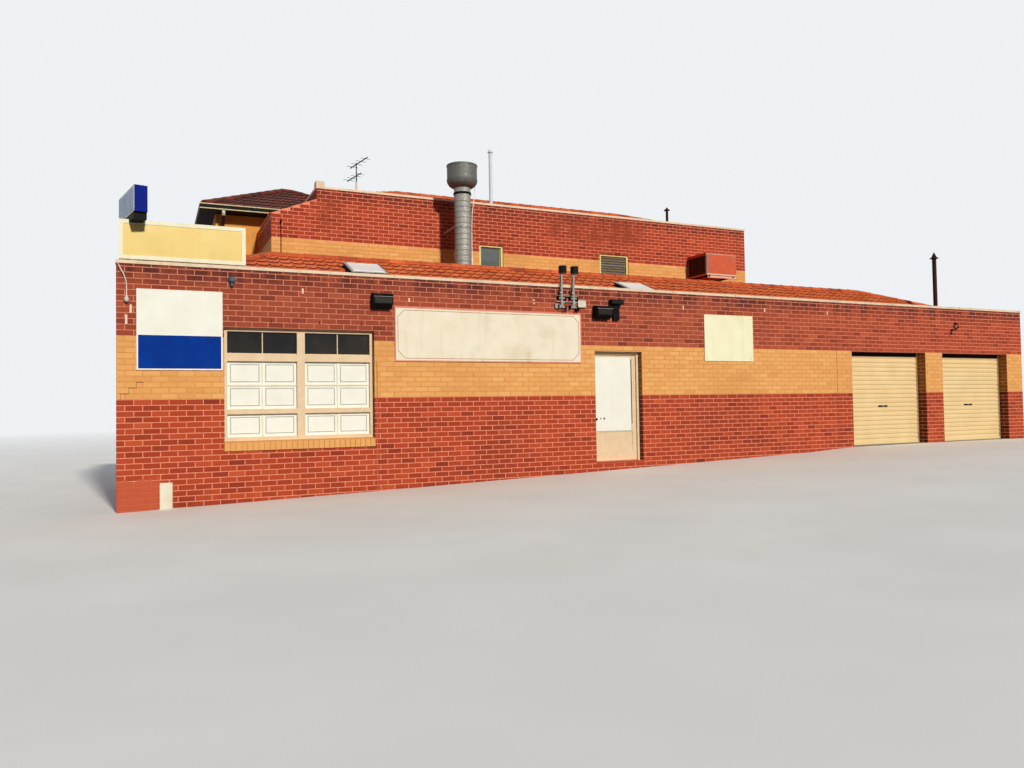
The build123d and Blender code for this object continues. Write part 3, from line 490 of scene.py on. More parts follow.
SHUTTER = painted("shutter_paint", (230, 203, 152), (237, 212, 163), 0.5, 2, soil=0.1, dirt=OCHRE_DIRT)
SHEET = painted("white_sheet", (237, 240, 231), (244, 247, 241), 0.5, 4, soil=0.10, dirt=PALE_DIRT)
SMALL_BOARD = painted("small_board_paint", (242, 241, 206), (247, 247, 217), 0.6, 3, soil=0.12)
EDGE = painted("grey_edge", (150, 152, 146), (176, 178, 170), 0.5, 10)
YELLOW = painted("sign_face", (232, 202, 114), (240, 214, 132), 0.35, 2, soil=0.12)
BLUE = painted("blue_panel", (0, 48, 138), (2, 60, 160), 0.7, 3, soil=0.15, gloss=0.06, dirt=BLUE_DIRT)
PINK = painted("border_paint", (222, 136, 116), (234, 158, 138), 0.6, 12)
INK = painted("border_line", (170, 112, 88), (196, 140, 112), 0.6, 12)
PALE_BLUE = painted("sign_side", (160, 182, 220), (184, 204, 234), 0.4, 3, soil=0.2)
GREEN_FRAME = painted("hatch_paint", (214, 204, 136), (230, 220, 158), 0.5, 8)
HATCH_GLASS = glass_look("hatch_glass", (66, 78, 80), (92, 102, 100), 0.2, 0.4)
EAVES = eaves_look()
MASTS = split_look("mast_paint", "Z", MAST_HEADS, GREY_PAINT, DARK_PAINT)
VENTS = split_look("vent_paint", "X", BROWN_VENTS, VENT_WHITE, BROWN_PAINT)
VENT_TRIM = painted("vent_trim", *BROWN_PAINT, 0.65, 14, soil=0.1, gloss=0.1)
AERIAL = split_look("aerial_paint", "Z", AERIAL_FOOT, PALE_PAINT, DARK_PAINT)
# The downpipe is dark brown below its pale head: painted shade of the pipe under the eaves
DOWNPIPE_PAINTED_SHADE = split_look("downpipe_painted_shade", "Z", PIPE_HEAD, BROWN_PAINT, PALE_PAINT)
SEAM_PAINT = painted("joint_filler", (104, 50, 38), (130, 66, 50), 0.9, 12, gloss=0.1)
COWL_ZINC = zinc_look("cowl_zinc", (84, 88, 86), (122, 126, 124))
RING = painted("flue_ring", (104, 102, 96), (136, 134, 126), 0.7, 20, soil=0.1)
SLAT = painted("slat_paint", (96, 86, 68), (122, 108, 86), 0.6, 14, soil=0.2)
TRAY = painted("tray_paint", (230, 170, 148), (240, 190, 168), 0.6, 10)
POST_PAINT = painted("cooler_post", (138, 110, 106), (160, 130, 124), 0.6, 9)
LENS_PAINT = glass_look("lamp_lens", (18, 16, 15), (34, 30, 28), 0.35, 0.15)
STEEL_BLUE = painted("lamp_paint", (66, 78, 98), (108, 120, 138), 0.6, 12, soil=0.1, gloss=0.15)
# Near-black maroon: painted shade in the weep holes, and on the cooler's sides partly its dark grille, partly
# painted shade
MAROON_SHADE_PAINT = painted("grille_and_hollow_painted_shade", (52, 18, 16), (74, 28, 24), 0.7, 12, soil=0.1, gloss=0.1)

# Nodes whose look differs from that of their slot
SPECIAL = (
    (HOUSE_MORTAR, ("house_street_wall", "house_right_wall", "house_back_wall", "side_parapet", "lean_wall")),
    (SHUTTER, ("roller_door_1", "roller_door_2")),
    (CREAM, ("shop_window_sill", "corner_window_sill")),
    (SHEET, ("left_board",)),
    (SMALL_BOARD, ("small_board",)),
    # The skylight curbs are near black: painted shade of the gap under each raised sheet
    (DARK, ("skylights",)),
    (COWL_ZINC, ("flue_cowl",)),
    (DOWNPIPE_PAINTED_SHADE, ("downpipe",)),
    (EAVES, ("wing_eaves",)),
    (MASTS, ("service_masts",)),
    (VENTS, ("vent_pipes",)),
    (AERIAL, ("aerial",)),
    (GREEN_FRAME, ("small_window_frames",)),
    (HATCH_GLASS, ("small_window_panes",)),
)


def dress_frame():
    """Gives every CAD node its material by the slot that the record names for it."""
    slots = {row["node"]: row["material_slot"] for row in frame["record"]["subparts"]}
    special = {node: look for look, nodes in SPECIAL for node in nodes}
    for node, piece in frame["nodes"].items():
        piece.data.materials.clear()
        piece.data.materials.append(special.get(node, LOOKS[slots[node]]))


# Mesh building

# Faces of the walls, each with the place where it starts and the way it runs
STREET_FACE = (Vector(), RIGHT)
CORNER_FACE = (Vector((0, span("corner_wall")[1].y, 0)), -BACK)

TUBE_SIDES = 8
STRIP_RISE = 0.002


class Build:
    """Collects points and faces of one piece; each face has a material number and a tone."""

    def __init__(self):
        self.points = []
        self.faces = []
        self.numbers = []
        self.tones = []

    def add(self, points, faces, number=0, tone=0.5):
        start = len(self.points)
        self.points.extend(points)
        for face in faces:
            self.faces.append([start + index for index in face])
            self.numbers.append(number)
            self.tones.append(tone)

    def block(self, corner, along, up, size, chamfer=0.0, number=0, tone=0.5, back=False):
        """A raised block on a face: corner is low left on that face, size is width, height, rise."""
        width, height, rise = size
        points = []
        for inset, lift in ((0, 0), (chamfer, rise)):
            right, top = width - inset, height - inset
            for x, z in ((inset, inset), (right, inset), (right, top), (inset, top)):
                points.append(corner + along * x + up * z + along.cross(up) * lift)
        faces = [(4, 5, 6, 7), (0, 1, 5, 4), (1, 2, 6, 5), (2, 3, 7, 6), (3, 0, 4, 7)]
        if back:
            faces.append((3, 2, 1, 0))
        self.add(points, faces, number, tone)

    def box(self, left, right, front, back, bottom, top, number=0, chamfer=0.0):
        """A closed box in the building's own metres."""
        size = (right - left, top - bottom, back - front)
        self.block(Vector((left, back, bottom)), RIGHT, UP, size, chamfer, number, back=True)

    def boxes(self, rows, x=0.0, z=0.0):
        """Closed boxes from a table of their sides, material number and chamfer."""
        for left, right, front, back, bottom, top, number, chamfer in rows:
            self.box(x + left, x + right, front, back, z + bottom, z + top, number, chamfer)

    def panel(self, left, right, bottom, top, depth, rise, number=0, chamfer=0.001, face=STREET_FACE):
        """A thin closed block on an upright face; its back lies at a depth behind that face."""
        start, along = face
        corner = start + along * left + UP * bottom - along.cross(UP) * depth
        self.block(corner, along, UP, (right - left, top - bottom, rise), chamfer, number, back=True)

    def outline(self, left, right, bottom, top, depth, width, number=0, face=STREET_FACE):
        """Four thin strips round a rectangle on an upright face."""
        strips = (
            (left, right, bottom, bottom + width),
            (left, right, top - width, top),
            (left, left + width, bottom + width, top - width),
            (right - width, right, bottom + width, top - width),
        )
        for strip in strips:
            self.panel(*strip, depth, STRIP_RISE, number, 0.0005, face)

    def skin(self, rings, steps, number, ends=()):
        """Faces between rings of points, from each ring to the next, and those at the ends."""
        faces = []
        for low in range(0, (len(rings) - 1) * steps, steps):
            for step in range(steps):
                after = (step + 1) % steps
                faces.append((low + step, low + after, low + steps + after, low + steps + step))
        self.add([point for row in rings for point in row], faces + list(ends), number)

    def turned(self, centre, axis, profile, steps=24, number=0):
        """A lathe shape: the profile's points are distance from the axis and distance along it."""
        centre = Vector(centre)
        rings = [ring(centre + axis * rise, axis, RIGHT, radius, steps) for radius, rise in profile]
        self.skin(rings, steps, number)

    def tube(self, path, radius, number=0):
        """A round bar along straight runs, with closed ends."""
        path = [Vector(place) for place in path]
        rings = []
        for before, point, after in zip(path[:1] + path, path, path[1:] + path[-1:]):
            ahead = (after - before).normalized()
            side = ahead.cross(UP if abs(ahead.z) < 0.9 else RIGHT).normalized()
            rings.append(ring(point, ahead, side, radius, TUBE_SIDES))
        last = (len(path) - 1) * TUBE_SIDES
        ends = [tuple(range(TUBE_SIDES)), tuple(reversed(range(last, last + TUBE_SIDES)))]
        self.skin(rings, TUBE_SIDES, number, ends)

    def piece(self, name, materials, slot, body=BUILDING, smooth=False):
        """Makes the Blender object and lets it ride on its body."""
        mesh = bpy.data.meshes.new(name)
        mesh.from_pydata([point + ORIGIN for point in self.points], [], self.faces)
        for material in materials:
            mesh.materials.append(material)
        mesh.polygons.foreach_set("material_index", self.numbers)
        tones = mesh.attributes.new("tone", "FLOAT", "FACE")
        tones.data.foreach_set("value", self.tones)
        if smooth:
            mesh.shade_smooth()
        mesh.update()
        item = placed(name, mesh)
        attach(item, body)


def ring(centre, axis, side, radius, steps):
    """Points round an axis; the first one lies to the side."""
    other = axis.cross(side)
    angles = [2 * math.pi * step / steps for step in range(steps)]
    return [centre + (side * math.cos(a) + other * math.sin(a)) * radius for a in angles]


def scatter(chance, middle, spread):
    """A random tone near a middle value, kept from 0 to 1."""
    return min(max(chance.gauss(middle, spread), 0), 1)


# Bricks


def free_spans(width, gaps):
    """What is left of a course after the gaps are taken out."""
    spans = []
    left = 0.0
    for start, end in sorted(gaps):
        if start > left:
            spans.append((left, start))
        left = max(left, end)
    if width > left:
        spans.append((left, width))
    return spans


def brick_face(wall, chance, corner, along, size, holes=(), band=STREET_BAND, rake=None):
    """Half-bond brickwork on an upright face.

    Corner is its low left end seen from outside, size is width, bottom and top. Holes are left,
    right, bottom and top. A rake gives, for a height, how much of the left end is cut away.
    """
    corner = Vector(corner)
    width, bottom, top = size
    first = math.floor((bottom - BAND_BOTTOM) / COURSE + 0.001)
    last = math.ceil((top - BAND_BOTTOM) / COURSE - 0.001)
    for course in range(first, last):
        low = max(BAND_BOTTOM + course * COURSE, bottom)
        high = min(BAND_BOTTOM + (course + 1) * COURSE, top)
        middle = (low + high) / 2
        if high - low < LOWEST:
            continue
        gaps = [(left, right) for left, right, base, head in holes if base < middle < head]
        if rake:
            gaps.append((0, rake(high)))
        number = 1 if band[0] < middle < band[1] else 0
        shift = BOND_START + (course % 2) * BRICK / 2
        for left, right in free_spans(width, gaps):
            count = math.ceil((left + SHORTEST - shift) / BRICK)
            joints = [left]
            while shift + count * BRICK < right - SHORTEST:
                joints.append(shift + count * BRICK)
                count += 1
            joints.append(right)
            for place, (begin, end) in enumerate(zip(joints, joints[1:])):
                begin += JOINT / 2 if place else 0
                end -= JOINT / 2 if end < right else 0
                face = corner + along * begin + UP * (low + JOINT / 2)
                tone = scatter(chance, 0.52, 0.18)
                if chance.random() < ODD_SHARE:
                    tone = chance.uniform(0.1, 0.3)
                rise = RELIEF + chance.uniform(-UNEVEN, UNEVEN)
                wall.block(face, along, UP, (end - begin, high - low - JOINT, rise), ARRIS, number, tone)


def brick_walls(name, materials, chance, walls, band=STREET_BAND):
    """One piece from several brick faces: each has its start, its way, its size and holes."""
    sides = Build()
    for x, y, along, size, holes in walls:
        brick_face(sides, chance, (x, y, 0), along, size, holes, band)
    sides.piece(name, materials, "brick")


def jambs(wall, chance, left, right, bottom, top, depth):
    """The brick cheeks of an opening in a wall that faces the street."""
    brick_face(wall, chance, (left, 0, 0), BACK, (depth, bottom, top))
    brick_face(wall, chance, (right, depth, 0), -BACK, (depth, bottom, top))


def street_bricks():
    """The street block: its front, the cheeks of its openings, the other walls and the sills."""
    chance = random.Random(11)
    low, high = span("window_wall")
    top = high.z
    length = span("garage_wall")[1].x
    depth = span("corner_wall")[1].y
    door_low, door_high = span("door_frame")
    frame_low, frame_high = span("shop_window_frame")
    garages = [(span(name)[0].x + DOOR_LAP, span(name)[1].x - DOOR_LAP) for name in ROLLER_DOORS]
    garage_floor = span("garage_floor")[1].z
    holes = [
        (frame_low.x, frame_high.x, span("shop_window_sill")[0].z, frame_high.z),
        (door_low.x, door_high.x, door_low.z, door_high.z),
    ]
    holes += [(left, right, garage_floor, BAND_TOP) for left, right in garages]
    holes += [(x - JOINT / 2, x + JOINT / 2, 0, reach) for x, reach in MOVEMENT_JOINTS]
    front = Build()
    brick_face(front, chance, (0, 0, 0), RIGHT, (length, 0, top), holes)
    front.piece("street_bricks", [RED, CREAM], "brick")

    seams = Build()
    for x, reach in MOVEMENT_JOINTS:
        seams.panel(x - FILLER / 2, x + FILLER / 2, 0, reach, 0, 0.002)
    seams.piece("movement_joints", [SEAM_PAINT], "brick")

    cheeks = Build()
    jambs(cheeks, chance, frame_low.x, frame_high.x, frame_low.z, frame_high.z, frame_low.y)
    jambs(cheeks, chance, door_low.x, door_high.x, door_low.z, door_high.z, door_low.y)
    for left, right in garages:
        jambs(cheeks, chance, left, right, garage_floor, BAND_TOP, low.y + high.y - 0.002)
    # The cheeks wear the darker bricks: painted shade of the reveals
    cheeks.piece("opening_bricks", [CHEEK_RED_SHADE, CHEEK_CREAM_SHADE], "brick")

    window_low, window_high = span("corner_window_frame")
    left, right = depth - window_high.y, depth - window_low.y
    yard = span("yard_wall")[1].x
    house_right = span("house_right_wall")[1].x
    window = (left, right, span("corner_window_sill")[0].z, window_high.z)
    walls = (
        (0, depth, -BACK, (depth, 0, top), [window]),
        (length, 0, BACK, (depth, 0, top), []),
        (yard, depth, -RIGHT, (yard, 0, top), []),
        (length, depth, -RIGHT, (length - house_right, 0, top), []),
    )
    brick_walls("side_bricks", [RED, CREAM], chance, walls)

    street_rise = 0.018
    corner_rise = 0.003
    sills = Build()
    sill_bricks(sills, chance, STREET_FACE, frame_low.x, frame_high.x, street_rise)
    sill_bricks(sills, chance, CORNER_FACE, left, right, corner_rise)
    sills.piece("sill_bricks", [CREAM], "cream_render")


def sill_bricks(sills, chance, face, left, right, rise):
    """Bricks on edge along the front of a window sill."""
    start, along = face
    low, high = span("shop_window_sill")
    count = round((right - left) / COURSE)
    pitch = (right - left) / count
    slope = 0.022
    size = (pitch - JOINT / 2, high.z - low.z - slope, rise)
    for index in range(count):
        corner = start + along * (left + index * pitch + JOINT / 4) + UP * low.z - along.cross(UP) * low.y
        sills.block(corner, along, UP, size, 0.001, 0, chance.uniform(0.35, 0.6))


def small_openings():
    """The upper storey's openings as left, right, bottom, top, read from their frames."""
    openings = {"street": [], "rear": []}
    wall_back = span("house_street_wall")[1].y
    for low, high in solids("small_window_frames"):
        side = "street" if low.y < wall_back else "rear"
        openings[side].append((low.x, high.x, low.z, high.z))
    return openings


def house_bricks():
    """The upper storey's bricks on all sides, cut to the lean-to roof and the street block."""
    chance = random.Random(12)
    low, high = span("house_street_wall")
    lean_low, lean_high = span("lean_roof")
    lean_eave = lean_low.z + ROOF
    lean_slope = (lean_high.z - lean_eave) / (lean_high.x - lean_low.x)

    def rake(height):
        if height > lean_high.z:
            return lean_high.x - low.x
        return max((height - lean_eave) / lean_slope, 0)

    windows = small_openings()
    holes = [(x0 - low.x, x1 - low.x, z0, z1) for x0, x1, z0, z1 in windows["street"]]
    size = (high.x - low.x, span("street_roof")[0].z + ROOF, high.z)
    front = Build()
    brick_face(front, chance, (low.x, low.y, 0), RIGHT, size, holes, HOUSE_BAND, rake)
    front.piece("house_front_bricks", [HOUSE_RED, CREAM], "brick")

    wall = high.y - low.y
    street_top = span("street_capping")[1].z
    back_low, back_high = span("house_back_wall")
    rear_holes = [(high.x - x1, high.x - x0, z0, z1) for x0, x1, z0, z1 in windows["rear"]]
    right_depth = span("house_right_wall")[1].y - low.y
    lean_end = span("lean_wall")[1].y
    lean_depth = lean_end - low.y
    step_low, step_high = span("side_parapet")
    step_depth = 1.56
    lean_gap = (lean_depth - wall, lean_depth, 0, street_top)
    walls = (
        (high.x, low.y, BACK, (right_depth, 0, high.z), [(0, wall, 0, street_top)]),
        (high.x, back_high.y, -RIGHT, (high.x - back_low.x, 0, back_high.z), rear_holes),
        (low.x, lean_end, -BACK, (lean_depth, 0, lean_low.z), [lean_gap]),
        (step_low.x, step_low.y + step_depth, -BACK, (step_depth + wall, lean_high.z, step_high.z), []),
    )
    brick_walls("house_side_bricks", [HOUSE_RED, CREAM], chance, walls, HOUSE_BAND)


# Roof tiles

# One tile from side to side: share of its width and height of its surface
PROFILE = (
    (0.00, 0.012), (0.07, 0.026), (0.15, 0.024), (0.22, 0.004), (0.46, 0.000),
    (0.53, 0.012), (0.60, 0.000), (0.92, 0.003), (1.00, 0.012),
)


class Roof:
    """A hipped roof's plan, eave and slope, read from its node's box."""

    def __init__(self, node, gutter=0.0):
        self.low, self.high = span(node)
        self.high.x -= gutter
        self.reach = min(self.high.x - self.low.x, self.high.y - self.low.y) / 2
        self.eave = self.low.z + ROOF
        self.slope = (self.high.z - RIDGE_RADIUS - self.eave) / self.reach

    def hides(self, place):
        """Whether a place on another roof lies below this one."""
        sides = (place.x - self.low.x, self.high.x - place.x, place.y - self.low.y, self.high.y - place.y)
        nearest = min(sides)
        return nearest > 0 and self.eave + nearest * self.slope > place.z + 0.02


def tile_slope(cover, chance, start, along, length, inward, slope, reach, hidden=None, hips=True):
    """Interlocking tiles on one slope; up hips its ends run in at 45 degrees in plan."""
    lift = math.sqrt(1 + slope * slope)
    climb = inward + UP * slope
    normal = along.cross(climb / lift)

    def spot(across, run, height=0.0):
        inset = run if hips else 0
        return start + along * min(max(across, inset), length - inset) + climb * run + normal * height

    rows = math.ceil(reach * lift / TILE_GAUGE)
    step = reach / rows
    count = len(PROFILE)
    tops = [(i, i + 1, count + i + 1, count + i) for i in range(count - 1)]
    butts = [(2 * count + i, 2 * count + i + 1, i + 1, i) for i in range(count - 1)]
    for row in range(rows):
        low, high = row * step, (row + 1) * step
        middle_run = (low + high) / 2
        for column in range(math.ceil(length / TILE_COVER)):
            left = column * TILE_COVER
            middle = left + TILE_COVER / 2
            if hips and not middle_run - HIP_SLACK < middle < length - middle_run + HIP_SLACK:
                continue
            if hidden and hidden(start + along * middle + climb * middle_run):
                continue
            points = []
            for run, raised in ((low, TILE_BUTT), (high, TILE_HEAD)):
                points += [spot(left + share * TILE_COVER, run, raised + height) for share, height in PROFILE]
            points += [spot(left + share * TILE_COVER, low) for share, _ in PROFILE]
            tone = scatter(chance, 0.5, 0.18)
            cover.add(points, tops, 0, tone)
            # The butts take the second material, a darker clay: painted shade under each course
            cover.add(points, butts, 1, tone)


def ridge_caps(cover, chance, start, end, hidden):
    """Half-round caps from a low end to a high end, each one lapped over the one before."""
    ahead = (end - start).normalized()
    side = ahead.cross(UP).normalized()
    above = side.cross(ahead) * CAP_FLATNESS
    count = max(round((end - start).length / CAP_LENGTH), 1)
    step = (end - start).length / count
    angles = [math.radians(angle) for angle in (-12, 20, 55, 90, 125, 160, 192)]
    ring = len(angles)
    faces = [(i, i + 1, ring + i + 1, ring + i) for i in range(ring - 1)]
    faces.append(tuple(reversed(range(ring))))
    faces.append(tuple(range(ring, 2 * ring)))
    for index in range(count):
        near = start + ahead * (step * index - CAP_LAP)
        far = start + ahead * (step * (index + 1) + CAP_LAP)
        if hidden((near + far) / 2):
            continue
        points = []
        for middle, radius in ((near, CAP_RADIUS), (far, CAP_RADIUS * CAP_TAPER)):
            points.extend(middle + (side * math.cos(a) + above * math.sin(a)) * radius for a in angles)
        cover.add(points, faces, 2, scatter(chance, 0.45, 0.2))


def tile_hip(name, roof, materials, slot, seed, hidden):
    """Covers a whole hipped roof with tiles and caps its ridge and hips."""
    chance = random.Random(seed)
    cover = Build()
    x0, x1, y0, y1 = roof.low.x, roof.high.x, roof.low.y, roof.high.y
    sides = (
        (x0, y0, RIGHT, x1 - x0, BACK),
        (x1, y0, BACK, y1 - y0, -RIGHT),
        (x1, y1, -RIGHT, x1 - x0, -BACK),
        (x0, y1, -BACK, y1 - y0, RIGHT),
    )
    for x, y, along, length, inward in sides:
        start = Vector((x, y, roof.eave))
        tile_slope(cover, chance, start, along, length, inward, roof.slope, roof.reach, hidden)
    bed = roof.eave + CAP_BED
    near = Vector((x0 + roof.reach, y0 + roof.reach, bed + roof.reach * roof.slope))
    far = Vector((x1 - roof.reach, y1 - roof.reach, bed + roof.reach * roof.slope))
    left_back, right_front = (x0, y1, near), (x1, y0, far)
    if y1 - y0 > x1 - x0:
        left_back, right_front = (x1, y0, near), (x0, y1, far)
    for x, y, end in ((x0, y0, near), left_back, right_front, (x1, y1, far)):
        ridge_caps(cover, chance, Vector((x, y, bed)), end, hidden)
    ridge_caps(cover, chance, near, far, hidden)
    cover.piece(name, materials, slot)


def roof_tiles():
    """The three hipped roofs and the lean-to, without the tiles that another roof hides."""
    house = Roof("house_roof")
    wing = Roof("wing_roof")
    lights = solids("skylights")

    def under_light(place):
        return any(low.x < place.x < high.x and low.y < place.y < high.y for low, high in lights)

    orange = [CLAY, CLAY_BUTT_SHADE, RIDGE_CLAY]
    brown = [DARK_CLAY, DARK_BUTT_SHADE, DARK_CLAY]
    street = Roof("street_roof", END_GUTTER)
    tile_hip("street_tiles", street, orange, "terracotta_tile", 21, under_light)
    tile_hip("house_tiles", house, orange, "terracotta_tile", 22, wing.hides)
    tile_hip("wing_tiles", wing, brown, "dark_tile", 23, house.hides)

    low, high = span("lean_roof")
    reach = high.x - low.x
    slope = (high.z - low.z - ROOF) / reach
    start = Vector((low.x, high.y, low.z + ROOF))
    chance = random.Random(24)
    lean = Build()
    tile_slope(lean, chance, start, -BACK, high.y - low.y, RIGHT, slope, reach, hips=False)
    lean.piece("lean_tiles", [CLAY, CLAY_BUTT_SHADE], "terracotta_tile")


def skylight_sheets():
    """The clouded sheet and its clamping frame on each skylight's sloping top."""
    slope = Roof("street_roof", END_GUTTER).slope
    lift = math.sqrt(1 + slope ** 2)
    up_slope = (BACK + UP * slope) / lift
    rim = 0.035
    sheets = Build()
    for low, high in solids("skylights"):
        size = high.x - low.x
        start = Vector((low.x, low.y, high.z - size * slope))
        sheets.block(start, RIGHT, up_slope, (size, size * lift, 0.012), 0.004, 0)
        corner = start + (RIGHT + up_slope) * rim
        sheets.block(corner, RIGHT, up_slope, (size - 2 * rim, size * lift - 2 * rim, 0.022), 0.01, 1)
    sheets.piece("skylight_sheets", [ZINC, LOOKS["skylight"]], "skylight")


# Windows and doors


def shop_window(name, face, left, right):
    """Glazing bars and the plain cards behind the lights of one shop window."""
    low, high = span("shop_window_frame")
    pane = span("shop_window_pane")[0].y
    middle = (left + right) / 2
    rows = [(low.z + FRAME, LOWER_RAIL[0]), (LOWER_RAIL[1], UPPER_RAIL[0])]
    head = (UPPER_RAIL[1], high.z - FRAME)
    cross = sum(rows[1]) / 2
    cells = [rows[0], (rows[1][0], cross), (cross, rows[1][1])]
    bars = Build()
    cards = Build()
    for x0, x1 in ((left + FRAME, middle - MULLION / 2), (middle + MULLION / 2, right - FRAME)):
        centre = (x0 + x1) / 2
        bars.panel(centre - 0.010, centre + 0.010, *head, pane, 0.026, 0, 0.003, face)
        bars.panel(x0, x1, head[0], head[0] + 0.018, pane, 0.022, 0, 0.003, face)
        bars.panel(x0, x1, cross - 0.014, cross + 0.014, pane, 0.022, 1, 0.003, face)
        for row in rows:
            cards.panel(x0, x1, *row, pane, 0.005, face=face)
            bars.panel(centre - 0.014, centre + 0.014, *row, pane, 0.020, 1, 0.003, face)
        for start, end in ((x0, centre), (centre, x1)):
            for bottom, top in cells:
                card = (start + 0.045, end - 0.045, bottom + 0.048, top - 0.045)
                cards.outline(*card, pane - 0.005, 0.013, 1, face)
    bars.piece(name + "_bars", [CREAM_PAINT, BOARD], "cream_timber")
    cards.piece(name + "_cards", [SHEET, EDGE], "sign_board")


def shop_windows():
    low, high = span("shop_window_frame")
    shop_window("shop_window", STREET_FACE, low.x, high.x)
    low, high = span("corner_window_frame")
    start = CORNER_FACE[0].y
    shop_window("corner_window", CORNER_FACE, start - high.y, start - low.y)


def upper_windows():
    """Slats over the louvred light and a beaded edge round every upper pane of the street side."""
    slats = Build()
    beads = Build()
    wall_back = span("house_street_wall")[1].y
    street = [box for box in solids("small_window_panes") if box[0].y < wall_back]
    for low, high in street:
        beads.outline(low.x + FRAME, high.x - FRAME, low.z + FRAME, high.z - FRAME, low.y, 0.014)
    low, high = street[-1]
    left, right = low.x + FRAME, high.x - FRAME
    count = 7
    pitch = (high.z - low.z - 2 * FRAME) / count
    for index in range(count):
        bottom = low.z + FRAME + index * pitch
        slats.panel(left, right, bottom + 0.006, bottom + pitch - 0.004, low.y, 0.022, 0, 0.010)
    middle = (low.z + high.z) / 2
    slats.panel(left, right, middle - 0.008, middle + 0.008, low.y, 0.028, 1, 0.003)
    slats.piece("louvre_slats", [SLAT, EDGE], "dark_metal")
    beads.piece("hatch_beads", [GREEN_FRAME], "cream_timber")


def door_parts():
    """The shop door's card and lock studs, which swing with it, and the trim round its frame."""
    low, high = span("shop_door")
    card_foot = 0.962
    card = (low.x + 0.018, high.x - 0.125, card_foot, high.z - 0.045)
    poster = Build()
    poster.panel(*card, low.y, STRIP_RISE, 0, 0.0005)
    poster.outline(*card, low.y - STRIP_RISE, 0.008, 1)
    poster.piece("door_poster", [SHEET, EDGE], "sign_board", DOOR)

    lock_low, lock_high = span("door_lock")
    height = (lock_low.z + lock_high.z) / 2 + 0.01
    places_and_radii = ((8.315, 0.013), (8.392, 0.018))
    knobs = Build()
    for x, radius in places_and_radii:
        profile = [(radius, 0), (radius, 0.004), (radius * 0.7, 0.012), (0, 0.014)]
        knobs.turned((x, low.y - 0.002, height), -BACK, profile, 14)
    knobs.piece("door_studs", [DARK], "dark_metal", DOOR, smooth=True)

    low, high = span("door_frame")
    trim = Build()
    trim.panel(low.x, high.x, high.z - 0.006, high.z, low.y, low.y)
    trim.panel(low.x, high.x, low.z - 0.028, low.z, 0, 0.006, 1, 0.002)
    trim.piece("door_trim", [CREAM_PAINT, RED], "cream_timber")


def shutter_parts():
    """Lock slot, bottom rail, side guides and a dark strip over both roller shutters, partly the gap above
    the curtain and partly painted shade under the head.
    """
    guide = 0.035
    lock_foot = 1.325
    parts = Build()
    for name, centre in ROLLER_DOORS.items():
        low, high = span(name)
        left, right = low.x + DOOR_LAP, high.x - DOOR_LAP
        slot = (centre - 0.15, centre + 0.15, lock_foot, lock_foot + 0.040)
        barrel = (centre - 0.03, centre + 0.03, lock_foot + 0.008, lock_foot + 0.032)
        # The lock slot is a dark panel: painted shade inside the slot
        parts.panel(*slot, low.y, 0.008, 0, 0.004)
        parts.panel(*barrel, low.y - 0.008, 0.010, 1, 0.004)
        parts.panel(left, right, low.z, low.z + 0.055, low.y, 0.012, 2, 0.004)
        # A near-black strip at the top of each shutter: partly the gap above the curtain, partly painted
        # shade under the head
        parts.panel(left, right, BAND_TOP - 0.090, BAND_TOP, low.y, 0.006)
        for x in (left, right - guide):
            parts.panel(x, x + guide, low.z, high.z - 0.04, low.y, 0.022, 2, 0.004)
    parts.piece("shutter_fittings", [DARK, ZINC, SHUTTER], "cream_metal")


# Signs


def left_board():
    """The blue lower part of the board at the corner and the rim round all of it."""
    low, high = span("left_board")
    rim = 0.022
    parting = 2.616
    panels = Build()
    panels.panel(low.x + rim, high.x - rim, low.z + rim, parting, low.y, 0.003)
    panels.outline(low.x, high.x, low.z, high.z, low.y, 0.010, 1)
    panels.piece("left_board_panel", [BLUE, SHEET], "sign_board")


def long_board():
    """The painted rim of the long board and its thin border line with cut corners."""
    low, high = span("long_board")
    inset = 0.050
    width = 0.010
    cut = 0.13
    x0, x1, z0, z1 = low.x + inset, high.x - inset, low.z + inset, high.z - inset
    border = Build()
    border.outline(low.x, high.x, low.z, high.z, low.y, 0.022)
    for z in (z0, z1 - width):
        border.panel(x0 + cut, x1 - cut, z, z + width, low.y, STRIP_RISE, 1, 0.0005)
    for x in (x0, x1 - width):
        border.panel(x, x + width, z0 + cut, z1 - cut, low.y, STRIP_RISE, 1, 0.0005)
    for x, toward in ((x0, 1), (x1, -1)):
        for z, turn in ((z0, 1), (z1, -1)):
            places = [Vector((x, low.y, z + turn * cut)), Vector((x + toward * cut, low.y, z))]
            first, last = places[::toward]
            along = (last - first).normalized()
            size = ((last - first).length, width, STRIP_RISE)
            border.block(first, along, (-BACK).cross(along), size, 0.0005, 1)
    border.piece("long_board_border", [PINK, INK], "sign_board")


def small_board():
    """The raised edge and the four fixings of the small board."""
    low, high = span("small_board")
    fixing = 0.018
    edge = Build()
    edge.outline(low.x, high.x, low.z, high.z, low.y, 0.014)
    for x in (low.x + 0.05, high.x - 0.07):
        for z in (low.z + 0.05, high.z - 0.07):
            edge.panel(x, x + fixing, z, z + fixing, low.y, 0.004, 1, 0.004)
    edge.piece("small_board_edge", [SMALL_BOARD, EDGE], "sign_board")


